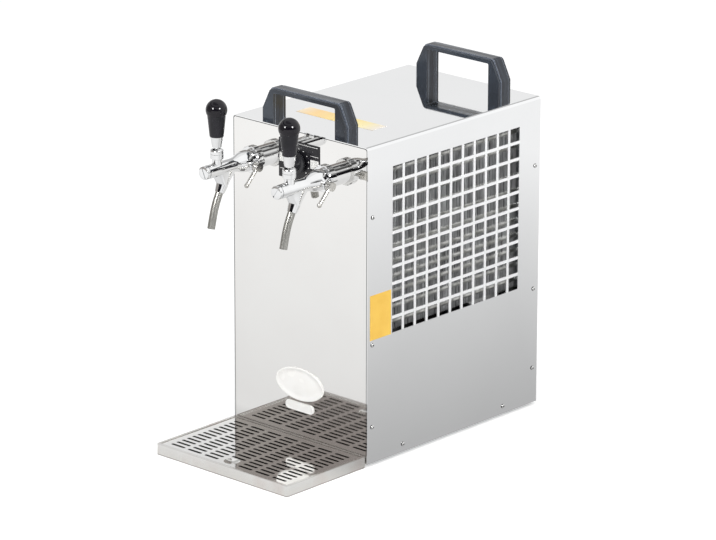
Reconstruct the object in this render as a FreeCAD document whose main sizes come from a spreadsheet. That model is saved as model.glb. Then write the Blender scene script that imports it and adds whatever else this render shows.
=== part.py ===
import FreeCAD, Part
import Sketcher
import math
import os
import sys

# Two-tap countertop beer cooler.
# The frame: +Z is up, the taps face -Y, and the origin is the middle of the whole
# object's footprint, on the table. Sizes are in millimetres.

os.makedirs("parts", exist_ok=True)
doc = FreeCAD.newDocument("beer_cooler")
sheet = doc.addObject("Spreadsheet::Sheet", "Sizes")


class Size:
    """A length, angle or count, with the formula that gives it in the document."""

    def __init__(self, text, number):
        self.text = text
        self.number = number

    def __add__(self, other):
        other = as_size(other)
        return Size(f"({self.text} + {other.text})", self.number + other.number)

    def __radd__(self, other):
        return as_size(other) + self

    def __sub__(self, other):
        other = as_size(other)
        return Size(f"({self.text} - {other.text})", self.number - other.number)

    def __rsub__(self, other):
        return as_size(other) - self

    def __mul__(self, other):
        other = as_size(other)
        return Size(f"({self.text} * {other.text})", self.number * other.number)

    def __rmul__(self, other):
        return as_size(other) * self

    def __truediv__(self, other):
        other = as_size(other)
        return Size(f"({self.text} / {other.text})", self.number / other.number)

    def __neg__(self):
        return Size(f"(0 - {self.text})", -self.number)


def as_size(value):
    return value if isinstance(value, Size) else Size(repr(value), value)


def sine(angle):
    return Size(f"sin({angle.text})", math.sin(math.radians(angle.number)))


def cosine(angle):
    return Size(f"cos({angle.text})", math.cos(math.radians(angle.number)))


def size(alias, number):
    """Write one driving size into the next row of the sheet."""
    size.row += 1
    sheet.set(f"A{size.row}", alias)
    sheet.set(f"B{size.row}", str(number))
    sheet.setAlias(f"B{size.row}", alias)
    return Size(f"Sizes.{alias}", float(number))


size.row = 0

# Cabinet
cabinet_width = size("cabinet_width", 220)
cabinet_depth = size("cabinet_depth", 313)
cabinet_top = size("cabinet_top", 398)
cover_lift = size("cover_lift", 4)
cover_sheet = size("cover_sheet", 1.2)
cover_bend = size("cover_bend", 4)
panel_sheet = size("panel_sheet", 1.5)
panel_joint = size("panel_joint", 0.8)
panel_flange = size("panel_flange", 12)
pan_lift = size("pan_lift", 6)
pan_sheet = size("pan_sheet", 1.5)
pan_flange = size("pan_flange", 20)
foot_radius = size("foot_radius", 9)
foot_inset = size("foot_inset", 24)

# Grille windows of the right side, and the air outlet of the left side
window = size("window", 17.3)
bar_upright = size("bar_upright", 4)
bar_level = size("bar_level", 3.8)
grille_columns = size("grille_columns", 11)
grille_rows = size("grille_rows", 10)
grille_setback = size("grille_setback", 43.8)
grille_low = size("grille_low", 160)
outlet_columns = size("outlet_columns", 9)
outlet_rows = size("outlet_rows", 4)
outlet_low = size("outlet_low", 40)

# Screws of the cover and panels
screw_head = size("screw_head", 2.75)
screw_head_high = size("screw_head_high", 1.8)
screw_shank = size("screw_shank", 1.6)
screw_long = size("screw_long", 7)
screw_margin = size("screw_margin", 8.8)
screw_low = size("screw_low", 49.5)
screw_middle = size("screw_middle", 153)
screw_high = size("screw_high", 311.5)
bottom_screw_inset = size("bottom_screw_inset", 64)
bottom_screw_up = size("bottom_screw_up", 13.4)

# Bridge handles
handle_span = size("handle_span", 137)
handle_deep = size("handle_deep", 22)
handle_high = size("handle_high", 41.7)
handle_leg = size("handle_leg", 18.3)
handle_upright = size("handle_upright", 15)
handle_slant = size("handle_slant", 12.5)
handle_bar = size("handle_bar", 6)
handle_corner = size("handle_corner", 2)
handle_crown = size("handle_crown", 1.2)
handle_band = size("handle_band", 14)
handle_setback = size("handle_setback", 7.5)
handle_bolt = size("handle_bolt", 3)
handle_bolt_long = size("handle_bolt_long", 14)

# Control plate, badges and stickers
plate_wide = size("plate_wide", 66)
plate_high = size("plate_high", 48)
plate_thick = size("plate_thick", 0.8)
plate_centre = size("plate_centre", 360.5)
dial_height = size("dial_height", 360)
oval_wide = size("oval_wide", 78)
oval_high = size("oval_high", 41)
oval_centre = size("oval_centre", 80)
small_wide = size("small_wide", 46)
small_high = size("small_high", 11)
small_centre = size("small_centre", 51)
badge_thick = size("badge_thick", 1.5)
sticker_thick = size("sticker_thick", 0.2)
sticker_wide = size("sticker_wide", 37)
sticker_high = size("sticker_high", 56)
sticker_low = size("sticker_low", 159)
sticker_setback = size("sticker_setback", 4.5)
top_sticker_wide = size("top_sticker_wide", 124)
top_sticker_deep = size("top_sticker_deep", 25)
top_sticker_setback = size("top_sticker_setback", 60)

# Taps: distances forward of the panel, and heights above the shank's axis
tap_spacing = size("tap_spacing", 118)
tap_height = size("tap_height", 356)
shank_thread = size("shank_thread", 8)
shank_bore = size("shank_bore", 3.5)
shank_tail = size("shank_tail", 32)
shank_flange = size("shank_flange", 13)
shank_flange_long = size("shank_flange_long", 14)
shank_spigot = size("shank_spigot", 11)
shank_spigot_long = size("shank_spigot_long", 6)
ring_radius = size("ring_radius", 16.5)
ring_long = size("ring_long", 10)
ring_flutes = size("ring_flutes", 12)
ring_flute = size("ring_flute", 1.6)
tap_neck = size("tap_neck", 9.8)
compensator_radius = size("compensator_radius", 13)
compensator_at = size("compensator_at", 31)
barrel_radius = size("barrel_radius", 8.5)
barrel_from = size("barrel_from", 58)
barrel_to = size("barrel_to", 98)
cap_radius = size("cap_radius", 8.2)
cap_long = size("cap_long", 5)
lever_at = size("lever_at", 80)
collar_radius = size("collar_radius", 8.1)
collar_from = size("collar_from", 14)
collar_to = size("collar_to", 25.5)
pivot_up = size("pivot_up", 19.5)
ball_radius = size("ball_radius", 5)
ball_clearance = size("ball_clearance", 0.08)
stem_radius = size("stem_radius", 3)
ferrule_from = size("ferrule_from", 28)
ferrule_low_radius = size("ferrule_low_radius", 5.85)
ferrule_high_radius = size("ferrule_high_radius", 7.95)
ferrule_to = size("ferrule_to", 40.6)
knob_low_radius = size("knob_low_radius", 8.5)
knob_ball_radius = size("knob_ball_radius", 13)
knob_ball_up = size("knob_ball_up", 73.3)
horn_back = size("horn_back", 44)
horn_front = size("horn_front", 90)
horn_half_wide = size("horn_half_wide", 7.6)
horn_root = size("horn_root", 3)
horn_waist_down = size("horn_waist_down", 12)
horn_waist_at = size("horn_waist_at", 70.3)
horn_waist_half_deep = size("horn_waist_half_deep", 14.3)
horn_waist_half_wide = size("horn_waist_half_wide", 7.1)
horn_tip_down = size("horn_tip_down", 29.5)
horn_tip_at = size("horn_tip_at", 76.2)
horn_tip_radius = size("horn_tip_radius", 6.1)
horn_nozzle_long = size("horn_nozzle_long", 10)
horn_nozzle_radius = size("horn_nozzle_radius", 7.6)
spout_radius = size("spout_radius", 4.75)
spout_wall = size("spout_wall", 0.8)
spout_lean = size("spout_lean", 27)
spout_end_lean = size("spout_end_lean", 14)
spout_seat = size("spout_seat", 9)
spout_first = size("spout_first", 17.5)
spout_last = size("spout_last", 27)
flow_at = size("flow_at", 30)
flow_down = size("flow_down", 4)
flow_boss = size("flow_boss", 5.8)
flow_boss_out = size("flow_boss_out", 14.5)
flow_hub = size("flow_hub", 5.5)
flow_hub_long = size("flow_hub_long", 8)
flow_spindle = size("flow_spindle", 2.5)
flow_spindle_long = size("flow_spindle_long", 6)
flow_arm = size("flow_arm", 2.5)
flow_arm_long = size("flow_arm_long", 27)
flow_arm_angle = size("flow_arm_angle", 45)
running_clearance = size("running_clearance", 0.05)
turning_gap = size("turning_gap", 0.4)

# Drip tray and its grid
tray_inset = size("tray_inset", 1.8)
tray_depth = size("tray_depth", 137)
tray_high = size("tray_high", 14.3)
tray_sheet = size("tray_sheet", 1)
tray_rim = size("tray_rim", 3)
tray_gap = size("tray_gap", 0.6)
grid_sheet = size("grid_sheet", 1.2)
grid_sink = size("grid_sink", 1)
grid_clearance = size("grid_clearance", 0.5)
slot_long = size("slot_long", 22.2)
slot_radius = size("slot_radius", 2)
slot_pitch_across = size("slot_pitch_across", 28)
slot_pitch_deep = size("slot_pitch_deep", 9.08)
slot_columns_side = size("slot_columns_side", 3)
slot_rows = size("slot_rows", 13)
slot_first_row = size("slot_first_row", 13)
finger_radius = size("finger_radius", 10)
finger_at = size("finger_at", 19)

# Inside: condenser, fan, cooling block, compressor, pump
fin_thick = size("fin_thick", 0.5)
fin_pitch = size("fin_pitch", 3)
fin_count = size("fin_count", 79)
fin_deep = size("fin_deep", 20)
condenser_setback = size("condenser_setback", 44)
condenser_low = size("condenser_low", 160)
condenser_high = size("condenser_high", 209)
condenser_gap = size("condenser_gap", 8)
tube_radius = size("tube_radius", 4)
tube_pitch = size("tube_pitch", 19)
tube_rows = size("tube_rows", 11)
tube_proud = size("tube_proud", 0.5)
shroud_deep = size("shroud_deep", 13)
fan_radius = size("fan_radius", 80)
fan_tip_gap = size("fan_tip_gap", 4)
fan_blade_count = size("fan_blade_count", 5)
fan_hub_radius = size("fan_hub_radius", 20)
fan_shaft = size("fan_shaft", 2.5)
blade_angle = size("blade_angle", 30)
blade_sheet = size("blade_sheet", 1.6)
blade_chord = size("blade_chord", 38)
motor_radius = size("motor_radius", 32)
motor_long = size("motor_long", 30)
block_wall = size("block_wall", 18)
insulation_wide = size("insulation_wide", 112)
insulation_setback = size("insulation_setback", 46)
insulation_deep = size("insulation_deep", 228)
insulation_low = size("insulation_low", 162)
insulation_high = size("insulation_high", 226)
compressor_radius = size("compressor_radius", 58)
compressor_high = size("compressor_high", 116)
compressor_setback = size("compressor_setback", 212)
compressor_right = size("compressor_right", 24)
grommet_high = size("grommet_high", 12)
pump_wide = size("pump_wide", 70)
pump_deep = size("pump_deep", 100)
pump_high = size("pump_high", 80)
beer_tube = size("beer_tube", 4)
copper_tube = size("copper_tube", 3)

# Rear connections
inlet_radius = size("inlet_radius", 9)
inlet_bore = size("inlet_bore", 4.8)
inlet_out = size("inlet_out", 22)
inlet_spacing = size("inlet_spacing", 40)
inlet_height = size("inlet_height", 350)
inlet_left = size("inlet_left", 60)
air_out_height = size("air_out_height", 90)
socket_wide = size("socket_wide", 27.4)
socket_high = size("socket_high", 20)
socket_deep = size("socket_deep", 24)
socket_centre_height = size("socket_centre_height", 60)
electric_right = size("electric_right", 68)
switch_spacing = size("switch_spacing", 34)
switch_wide = size("switch_wide", 14)
switch_high = size("switch_high", 21)
rocker_rise = size("rocker_rise", 3)

# The rest follows from the sizes above
side = cabinet_width / 2
inner_side = side - cover_sheet
tray_back = tray_depth + tray_gap
front = -(cabinet_depth + inlet_out - tray_back) / 2
rear = front + cabinet_depth


def bind(thing, name, value):
    thing.setExpression(name, as_size(value).text)


def put(thing, x=0.0, y=0.0, z=0.0):
    """Set an object down at a place that follows the sheet."""
    for letter, value in zip("xyz", (x, y, z)):
        bind(thing, f"Placement.Base.{letter}", value)
    return thing


def box(name, x, y, z):
    """A rectangular block, given by its two ends along each axis."""
    block = doc.addObject("Part::Box", name)
    bind(block, "Length", x[1] - x[0])
    bind(block, "Width", y[1] - y[0])
    bind(block, "Height", z[1] - z[0])
    return put(block, x[0], y[0], z[0])


TURN = {
    "x": FreeCAD.Rotation(FreeCAD.Vector(0, 1, 0), 90),
    "y": FreeCAD.Rotation(FreeCAD.Vector(1, 0, 0), -90),
    "z": FreeCAD.Rotation(),
}


def rod(name, axis, place, length, radius):
    """A cylinder that starts at a place and runs along +X, +Y or +Z."""
    bar = doc.addObject("Part::Cylinder", name)
    bind(bar, "Radius", radius)
    bind(bar, "Height", length)
    bar.Placement.Rotation = TURN[axis]
    return put(bar, *place)


def join(name, *pieces):
    whole = doc.addObject("Part::MultiFuse", name)
    whole.Shapes = list(pieces)
    return whole


def cut(name, base, *tools):
    """Take one or more tools out of a base."""
    left = doc.addObject("Part::Cut", name)
    left.Base = base
    left.Tool = tools[0] if len(tools) == 1 else join(name + "_tools", *tools)
    return left


def group(name, *pieces):
    """Separate solids that are one node."""
    together = doc.addObject("Part::Compound", name)
    together.Links = list(pieces)
    return together


def new_body(name):
    return doc.addObject("PartDesign::Body", name)


def plane_of(body, role):
    for feature in body.Origin.OriginFeatures:
        if feature.Role == role:
            return feature
    raise ValueError(role)


def sketch(body, name, role, offset=0.0):
    """A sketch on one of the body's own planes, moved along its normal."""
    drawing = body.newObject("Sketcher::SketchObject", name)
    drawing.AttachmentSupport = (plane_of(body, role), "")
    drawing.MapMode = "FlatFace"
    bind(drawing, "AttachmentOffset.Base.z", offset)
    return drawing


def fix_point(drawing, geometry, end, x, y):
    """Hold an end (1, 2) or centre (3) of a line at distances from the origin."""
    for kind, value in (("DistanceX", x), ("DistanceY", y)):
        value = as_size(value)
        rule = Sketcher.Constraint(kind, -1, 1, geometry, end, float(value.number))
        at = drawing.addConstraint(rule)
        bind(drawing, f"Constraints[{at}]", value)


def fix_radius(drawing, geometry, radius):
    radius = as_size(radius)
    at = drawing.addConstraint(Sketcher.Constraint("Radius", geometry, float(radius.number)))
    bind(drawing, f"Constraints[{at}]", radius)


def arc_between(start, end, radius, turn):
    """The shorter arc from start to end; turn is 1 to the left and -1 to the right."""
    chord = end - start
    half = chord.Length / 2
    normal = FreeCAD.Vector(-chord.y, chord.x, 0).normalize()
    rise = math.sqrt(max(radius**2 - half**2, 0.0))
    centre = (start + end) / 2 + normal * rise * turn
    first, last = (start, end) if turn > 0 else (end, start)
    angles = [math.atan2(p.y - centre.y, p.x - centre.x) for p in (first, last)]
    if angles[1] < angles[0]:
        angles[1] += 2 * math.pi
    circle = Part.Circle(centre, FreeCAD.Vector(0, 0, 1), radius)
    return Part.ArcOfCircle(circle, angles[0], angles[1])


def outline(drawing, *corners):
    """A closed outline. A corner (x, y) ends a straight line, and a corner
    (x, y, radius, turn) ends an arc that starts at the corner before it."""
    points = [FreeCAD.Vector(as_size(c[0]).number, as_size(c[1]).number, 0) for c in corners]
    count = len(corners)
    edges = []
    for i in range(count):
        after = (i + 1) % count
        target = corners[after]
        if len(target) == 2:
            line = Part.LineSegment(points[i], points[after])
            edges.append((drawing.addGeometry(line, False), 1, 2))
        else:
            turn = target[3]
            radius = as_size(target[2])
            arc = arc_between(points[i], points[after], radius.number, turn)
            edge = drawing.addGeometry(arc, False)
            edges.append((edge, 1, 2) if turn > 0 else (edge, 2, 1))
            fix_radius(drawing, edge, radius)
    for i in range(count):
        edge, begin, _ = edges[i]
        before, _, finish = edges[i - 1]
        drawing.addConstraint(Sketcher.Constraint("Coincident", before, finish, edge, begin))
        fix_point(drawing, edge, begin, corners[i][0], corners[i][1])


def rectangle(drawing, x, y):
    """A rectangle, given by its two ends along each of the sketch's axes."""
    outline(drawing, (x[0], y[0]), (x[1], y[0]), (x[1], y[1]), (x[0], y[1]))


def circle(drawing, x, y, radius):
    x, y, radius = as_size(x), as_size(y), as_size(radius)
    centre = FreeCAD.Vector(x.number, y.number, 0)
    ring = Part.Circle(centre, FreeCAD.Vector(0, 0, 1), radius.number)
    edge = drawing.addGeometry(ring, False)
    fix_point(drawing, edge, 3, x, y)
    fix_radius(drawing, edge, radius)


def round_slot(drawing, x, y, long, radius):
    """A slot along the sketch's first axis with half-round ends."""
    reach = long / 2 - radius
    up = FreeCAD.Vector(0, 0, 1)
    y = as_size(y)
    left = FreeCAD.Vector((x - reach).number, y.number, 0)
    right = FreeCAD.Vector((x + reach).number, y.number, 0)
    rise = FreeCAD.Vector(0, radius.number, 0)
    quarter = math.pi / 2
    right_end = Part.ArcOfCircle(Part.Circle(right, up, radius.number), -quarter, quarter)
    left_end = Part.ArcOfCircle(Part.Circle(left, up, radius.number), quarter, 3 * quarter)
    a = drawing.addGeometry(right_end, False)
    b = drawing.addGeometry(Part.LineSegment(right + rise, left + rise), False)
    c = drawing.addGeometry(left_end, False)
    d = drawing.addGeometry(Part.LineSegment(left - rise, right - rise), False)
    for one, other in ((a, b), (b, c), (c, d), (d, a)):
        drawing.addConstraint(Sketcher.Constraint("Tangent", one, 2, other, 1))
    fix_point(drawing, a, 3, x + reach, y)
    fix_point(drawing, c, 3, x - reach, y)
    fix_radius(drawing, a, radius)
    fix_radius(drawing, c, radius)


def pad(body, drawing, length, back=False):
    feature = body.newObject("PartDesign::Pad", drawing.Name + "_pad")
    feature.Profile = drawing
    feature.Reversed = back
    bind(feature, "Length", length)
    return feature


def pocket(body, drawing, length, back=False):
    feature = body.newObject("PartDesign::Pocket", drawing.Name + "_pocket")
    feature.Profile = drawing
    feature.Reversed = back
    bind(feature, "Length", length)
    return feature


def revolve(body, drawing, axis):
    """Turn an outline a full turn round the sketch's H_Axis or V_Axis."""
    feature = body.newObject("PartDesign::Revolution", drawing.Name + "_turn")
    feature.Profile = drawing
    feature.ReferenceAxis = (drawing, [axis])
    feature.Angle = 360
    return feature


def repeat(body, feature, drawing, across, across_pitch, along, along_pitch):
    """Repeat a cut in rows and columns along the sketch's two axes."""
    grid = body.newObject("PartDesign::MultiTransform", feature.Name + "_grid")
    grid.Originals = [feature]
    steps = []
    for axis, count, pitch in (("H_Axis", across, across_pitch), ("V_Axis", along, along_pitch)):
        row = body.newObject("PartDesign::LinearPattern", f"{feature.Name}_{axis}")
        row.Direction = (drawing, [axis])
        bind(row, "Length", pitch * (count - 1))
        bind(row, "Occurrences", count)
        steps.append(row)
    grid.Transformations = steps
    body.Tip = grid
    return grid


def edges_where(shape, test):
    return [f"Edge{i + 1}" for i, edge in enumerate(shape.Edges) if test(edge)]


def fillet(body, feature, radius, test):
    """Round the edges of a feature whose middle point passes a test."""
    doc.recompute()
    names = edges_where(feature.Shape, lambda edge: test(edge.CenterOfMass))
    rounded = body.newObject("PartDesign::Fillet", feature.Name + "_round")
    rounded.Base = (feature, names)
    bind(rounded, "Radius", radius)
    return rounded


def near(first, second):
    return abs(first - as_size(second).number) < 0.01


def vector(*place):
    return FreeCAD.Vector(*[as_size(value).number for value in place])


def tube_shape(route, radius):
    """A round bar along straight runs joined by arcs as large as the runs allow."""
    points = [vector(*place) for place in route]
    edges = []
    begin = points[0]
    for before, corner, after in zip(points, points[1:], points[2:]):
        into = (corner - before).normalize()
        out = (after - corner).normalize()
        turn = into.getAngle(out)
        reach = 0.45 * min((corner - before).Length, (after - corner).Length)
        arc_start = corner - into * reach
        arc_end = corner + out * reach
        inward = (out - into).normalize()
        bend = reach / math.tan(turn / 2)
        middle = corner + inward * (bend / math.cos(turn / 2) - bend)
        edges.append(Part.LineSegment(begin, arc_start).toShape())
        edges.append(Part.Arc(arc_start, middle, arc_end).toShape())
        begin = arc_end
        print(f"bend radius {bend:.1f} on a bar of radius {radius:.2f}")
    edges.append(Part.LineSegment(begin, points[-1]).toShape())
    path = Part.Wire(edges)
    start_way = points[1] - points[0]
    ring = Part.Wire([Part.Circle(points[0], start_way, radius).toShape()])
    return path.makePipeShell([ring], True, False)


def tube(name, routes, radius, bore=None):
    """One or more tubes, joined where they meet, as one piece."""
    solids = []
    for route in routes:
        bar = tube_shape(route, as_size(radius).number)
        if bore is not None:
            bar = bar.cut(tube_shape(route, as_size(bore).number))
        solids.append(bar)
    feature = doc.addObject("Part::Feature", name)
    feature.Shape = solids[0] if len(solids) == 1 else Part.makeCompound(solids)
    return feature


nodes = {}


def keep(name, thing):
    """Name an object as one piece of the assembly."""
    thing.Label = name
    nodes[name] = thing
    return thing


# Base pan: a folded tray that carries everything, with an upturned edge all round
# that the cover's lowest screws go into.
pan_low = pan_lift
pan_floor = pan_lift + pan_sheet
panel_clear = panel_flange
pan_outer = box("pan_outer", (-inner_side, inner_side),
                (front + panel_clear, rear - panel_clear), (pan_low, pan_low + pan_flange))
pan_inner = box("pan_inner", (pan_sheet - inner_side, inner_side - pan_sheet),
                (front + panel_clear + pan_sheet, rear - panel_clear - pan_sheet),
                (pan_floor, pan_low + pan_flange + 1))
pan_shell = cut("pan_shell", pan_outer, pan_inner)

# Rubber feet, one near each corner of the pan
feet = []
for x_name, x in (("left", foot_inset - side), ("right", side - foot_inset)):
    for y_name, y in (("front", front + foot_inset + panel_clear),
                      ("rear", rear - foot_inset - panel_clear)):
        feet.append(rod(f"foot_{x_name}_{y_name}", "z", (x, y, 0.0), pan_lift, foot_radius))
keep("rubber_feet", group("feet_group", *feet))

# Cover screws: pan heads on both sides, shanks through the cover into the panels
# and into the edge of the pan
side_screw_places = []
for y in (front + screw_margin, rear - screw_margin):
    for z in (screw_low, screw_middle, screw_high):
        side_screw_places.append((y, z))
for y in (front + bottom_screw_inset, rear - bottom_screw_inset):
    side_screw_places.append((y, as_size(bottom_screw_up)))
screw_holes = []
for number, (y, z) in enumerate(side_screw_places):
    hole = rod(f"side_hole_{number}", "x", (-side - 1, y, z), 2 * side + 2, screw_shank)
    screw_holes.append(hole)
side_holes = join("side_holes", *screw_holes)
for word, way in (("right", 1), ("left", -1)):
    screws = []
    for number, (y, z) in enumerate(side_screw_places):
        head_x = side if way > 0 else -side - screw_head_high
        shank_x = side - screw_long if way > 0 else -side
        head = rod(f"head_{word}_{number}", "x", (head_x, y, z), screw_head_high, screw_head)
        shank = rod(f"shank_{word}_{number}", "x", (shank_x, y, z), screw_long, screw_shank)
        screws.append(join(f"screw_{word}_{number}", head, shank))
    keep(f"side_screws_{word}", group(f"screws_{word}", *screws))
keep("base_pan", cut("pan_with_holes", pan_shell, side_holes))

# Wrap cover: one sheet folded over the top, with a grid of square windows in front
# of the condenser and a smaller one for the warm air on the other side
cover = new_body("cover_body")
fold = sketch(cover, "cover_fold", "XZ_Plane", -rear)
under = cabinet_top - cover_bend
bend_inner = cover_bend - cover_sheet
skin = cabinet_top - cover_sheet
outline(fold,
        (-side, cover_lift), (-side, under),
        (cover_bend - side, cabinet_top, cover_bend, -1),
        (side - cover_bend, cabinet_top), (side, under, cover_bend, -1),
        (side, cover_lift), (inner_side, cover_lift), (inner_side, under),
        (side - cover_bend, skin, bend_inner, 1),
        (cover_bend - side, skin), (-inner_side, under, bend_inner, 1),
        (-inner_side, cover_lift))
pad(cover, fold, cabinet_depth)
grille_front = front + grille_setback
for word, x, low, columns, rows in (("grille", side, grille_low, grille_columns, grille_rows),
                                    ("outlet", -inner_side, outlet_low, outlet_columns, outlet_rows)):
    pane = sketch(cover, word + "_pane", "YZ_Plane", x)
    rectangle(pane, (grille_front, grille_front + window), (low, low + window))
    opening = pocket(cover, pane, cover_sheet)
    repeat(cover, opening, pane, columns, window + bar_upright, rows, window + bar_level)

# Bridge handles: two legs and a bar, with a raised band along the middle of the
# outer faces, each held by two bolts from inside
handle_half = handle_span / 2
handle_front = front + handle_setback
handle_rear = rear - handle_setback - handle_deep


def handle(name, y):
    grip = new_body(name + "_body")
    opening = handle_half - handle_leg
    ceiling = handle_high - handle_bar
    for word, inset, deep in (("wide", handle_crown, handle_deep), ("band", 0.0, handle_band)):
        shape = sketch(grip, f"{name}_{word}", "XZ_Plane", deep / 2)
        wide = handle_half - inset
        top = handle_high - inset
        outline(shape,
                (-wide, 0.0), (-opening, 0.0), (-opening, ceiling - handle_corner),
                (handle_corner - opening, ceiling, handle_corner, -1),
                (opening - handle_corner, ceiling),
                (opening, ceiling - handle_corner, handle_corner, -1),
                (opening, 0.0), (wide, 0.0), (wide, handle_upright),
                (wide - handle_slant, top), (handle_slant - wide, top),
                (-wide, handle_upright))
        last = pad(grip, shape, deep, back=True)
    fillet(grip, last, handle_bar, lambda p: abs(p.x) > 40 and p.z > handle_high.number - 2
           and abs(p.x) > (handle_half - handle_slant).number - 2.5)
    return put(grip, 0.0, y + handle_deep / 2, cabinet_top)


bolts = []
bolt_holes = []
for word, y in (("front", handle_front), ("rear", handle_rear)):
    grip = handle(f"{word}_handle", y)
    drills = []
    for x_name, x in (("left", handle_leg / 2 - handle_half), ("right", handle_half - handle_leg / 2)):
        place = (x, y + handle_deep / 2, skin - 1)
        name = f"{word}_{x_name}"
        drills.append(rod(f"drill_{name}", "z", place, handle_bolt_long + 1, handle_bolt))
        stud = rod(f"bolt_{name}", "z", place, handle_bolt_long + 1, handle_bolt)
        cap = rod(f"bolt_head_{name}", "z", (x, y + handle_deep / 2, skin - 4),
                  as_size(4.0), handle_bolt * 2)
        bolts.append(join(f"handle_bolt_{name}", stud, cap))
    drilled = join(f"{word}_drills", *drills)
    bolt_holes.append(drilled)
    keep(f"{word}_handle", cut(f"{word}_handle_drilled", grip, drilled))
keep("handle_screws", group("handle_bolts", *bolts))
keep("wrap_cover", cut("cover_with_holes", cover, side_holes, *bolt_holes))


# Front and rear panels: sheets with a folded edge, set into the cover's two mouths
# with an even joint
def panel(name, face, way):
    """A folded panel whose outer face is at y = face and whose edge runs inwards."""
    half = inner_side - panel_joint
    low = as_size(cover_lift)
    high = skin - panel_joint
    corner = bend_inner
    blank = new_body(name + "_body")
    drawing = sketch(blank, name + "_blank", "XZ_Plane", -face)
    outline(drawing, (-half, low), (half, low), (half, high - corner),
            (half - corner, high, corner, 1), (corner - half, high),
            (-half, high - corner, corner, 1))
    pad(blank, drawing, panel_flange, back=way > 0)
    hollow = sketch(blank, name + "_hollow", "XZ_Plane", -(face + way * panel_sheet))
    rectangle(hollow, (panel_sheet - half, half - panel_sheet),
              (low + panel_sheet, high - panel_sheet))
    pocket(blank, hollow, panel_flange, back=way < 0)
    return blank


tap_places = (("left", -tap_spacing / 2), ("right", tap_spacing / 2))
front_sheet = panel("front", front, 1)
shank_holes = [rod(f"shank_hole_{word}", "y", (x, front - 1, tap_height), panel_sheet + 2, shank_thread)
               for word, x in tap_places]
bushing_radius = as_size(5.0)
bushing_hole = rod("bushing_hole", "y", (0.0, front - plate_thick - 1, dial_height),
                   panel_sheet + plate_thick + 2, bushing_radius)
keep("front_panel", cut("front_cut", front_sheet, side_holes, bushing_hole, *shank_holes))

# Control plate, and the bare plates and stickers of the front, side and top
plate = box("plate_blank", (-plate_wide / 2, plate_wide / 2), (front - plate_thick, front),
            (plate_centre - plate_high / 2, plate_centre + plate_high / 2))
keep("control_plate", cut("plate_drilled", plate, bushing_hole))


def flat_oval(name, wide, high, centre, thick):
    """An upright oval plate against the front panel."""
    curve = doc.addObject("Part::Ellipse", name + "_edge")
    bind(curve, "MajorRadius", wide / 2)
    bind(curve, "MinorRadius", high / 2)
    curve.Placement.Rotation = FreeCAD.Rotation(FreeCAD.Vector(1, 0, 0), 90)
    put(curve, 0.0, front, centre)
    plate = doc.addObject("Part::Extrusion", name + "_plate")
    plate.Base = curve
    plate.DirMode = "Custom"
    plate.Dir = FreeCAD.Vector(0, -1, 0)
    plate.Solid = True
    bind(plate, "LengthFwd", thick)
    return plate


keep("oval_badge", flat_oval("oval", oval_wide, oval_high, oval_centre, badge_thick))
small = new_body("small_badge_body")
drawing = sketch(small, "small_badge_edge", "XZ_Plane", -front)
round_slot(drawing, as_size(0.0), small_centre, small_wide, small_high / 2)
pad(small, drawing, badge_thick)
keep("small_badge", small)
keep("side_sticker", box("side_sticker_sheet", (side, side + sticker_thick),
                         (front + sticker_setback, front + sticker_setback + sticker_wide),
                         (sticker_low, sticker_low + sticker_high)))
keep("top_sticker", box("top_sticker_sheet", (-top_sticker_wide / 2, top_sticker_wide / 2),
                        (front + top_sticker_setback, front + top_sticker_setback + top_sticker_deep),
                        (cabinet_top, cabinet_top + sticker_thick)))

# Thermostat: its case behind the panel, a threaded bushing through it, and the knob
# with its spindle
spindle = as_size(3.0)
case = box("thermostat_case", (as_size(-16.0), as_size(16.0)),
           (front + panel_sheet, front + panel_sheet + 30), (dial_height - 20, dial_height + 20))
bushing_out = plate_thick + 3
bushing = rod("bushing", "y", (0.0, front - bushing_out, dial_height),
              bushing_out + panel_sheet, bushing_radius)
spindle_hole = rod("spindle_hole", "y", (0.0, front - bushing_out - 1, dial_height),
                   bushing_out + 1 + panel_sheet + 5, spindle + running_clearance)
keep("thermostat", cut("thermostat_body", join("case_and_bushing", case, bushing), spindle_hole))
knob_face = bushing_out + turning_gap
dial = new_body("dial_body")
drawing = sketch(dial, "dial_half", "YZ_Plane")
outline(drawing,
        (0.0, -0.0), (0.0, 12.8), (-3.0, 12.8), (-4.0, 9.5), (-14.0, 8.5), (-15.0, 7.5, 1.0, 1),
        (-15.0, 0.0))
revolve(dial, drawing, "H_Axis")
put(dial, 0.0, front - knob_face, dial_height)
spindle_rod = rod("spindle_rod", "y", (0.0, front - knob_face - 1, dial_height),
                  knob_face + 1 + panel_sheet + 4, spindle)
keep("thermostat_knob", join("dial_and_spindle", dial, spindle_rod))


# Taps: each hangs on a shank through the front panel. Along a tap, y is minus the
# distance from the panel, and z is the height above the shank's axis.
def shank(word, x):
    """Flanged shank with its threaded tail behind the panel and a spigot in front."""
    turned = new_body(f"shank_{word}_body")
    drawing = sketch(turned, f"shank_{word}_half", "YZ_Plane")
    nose = -(shank_flange_long + shank_spigot_long)
    outline(drawing,
            (shank_tail, shank_bore), (shank_tail, shank_thread), (0.0, shank_thread),
            (0.0, shank_flange), (-shank_flange_long, shank_flange),
            (-shank_flange_long, shank_spigot), (nose, shank_spigot), (nose, shank_bore))
    revolve(turned, drawing, "H_Axis")
    return put(turned, x, front, tap_height)


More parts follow.
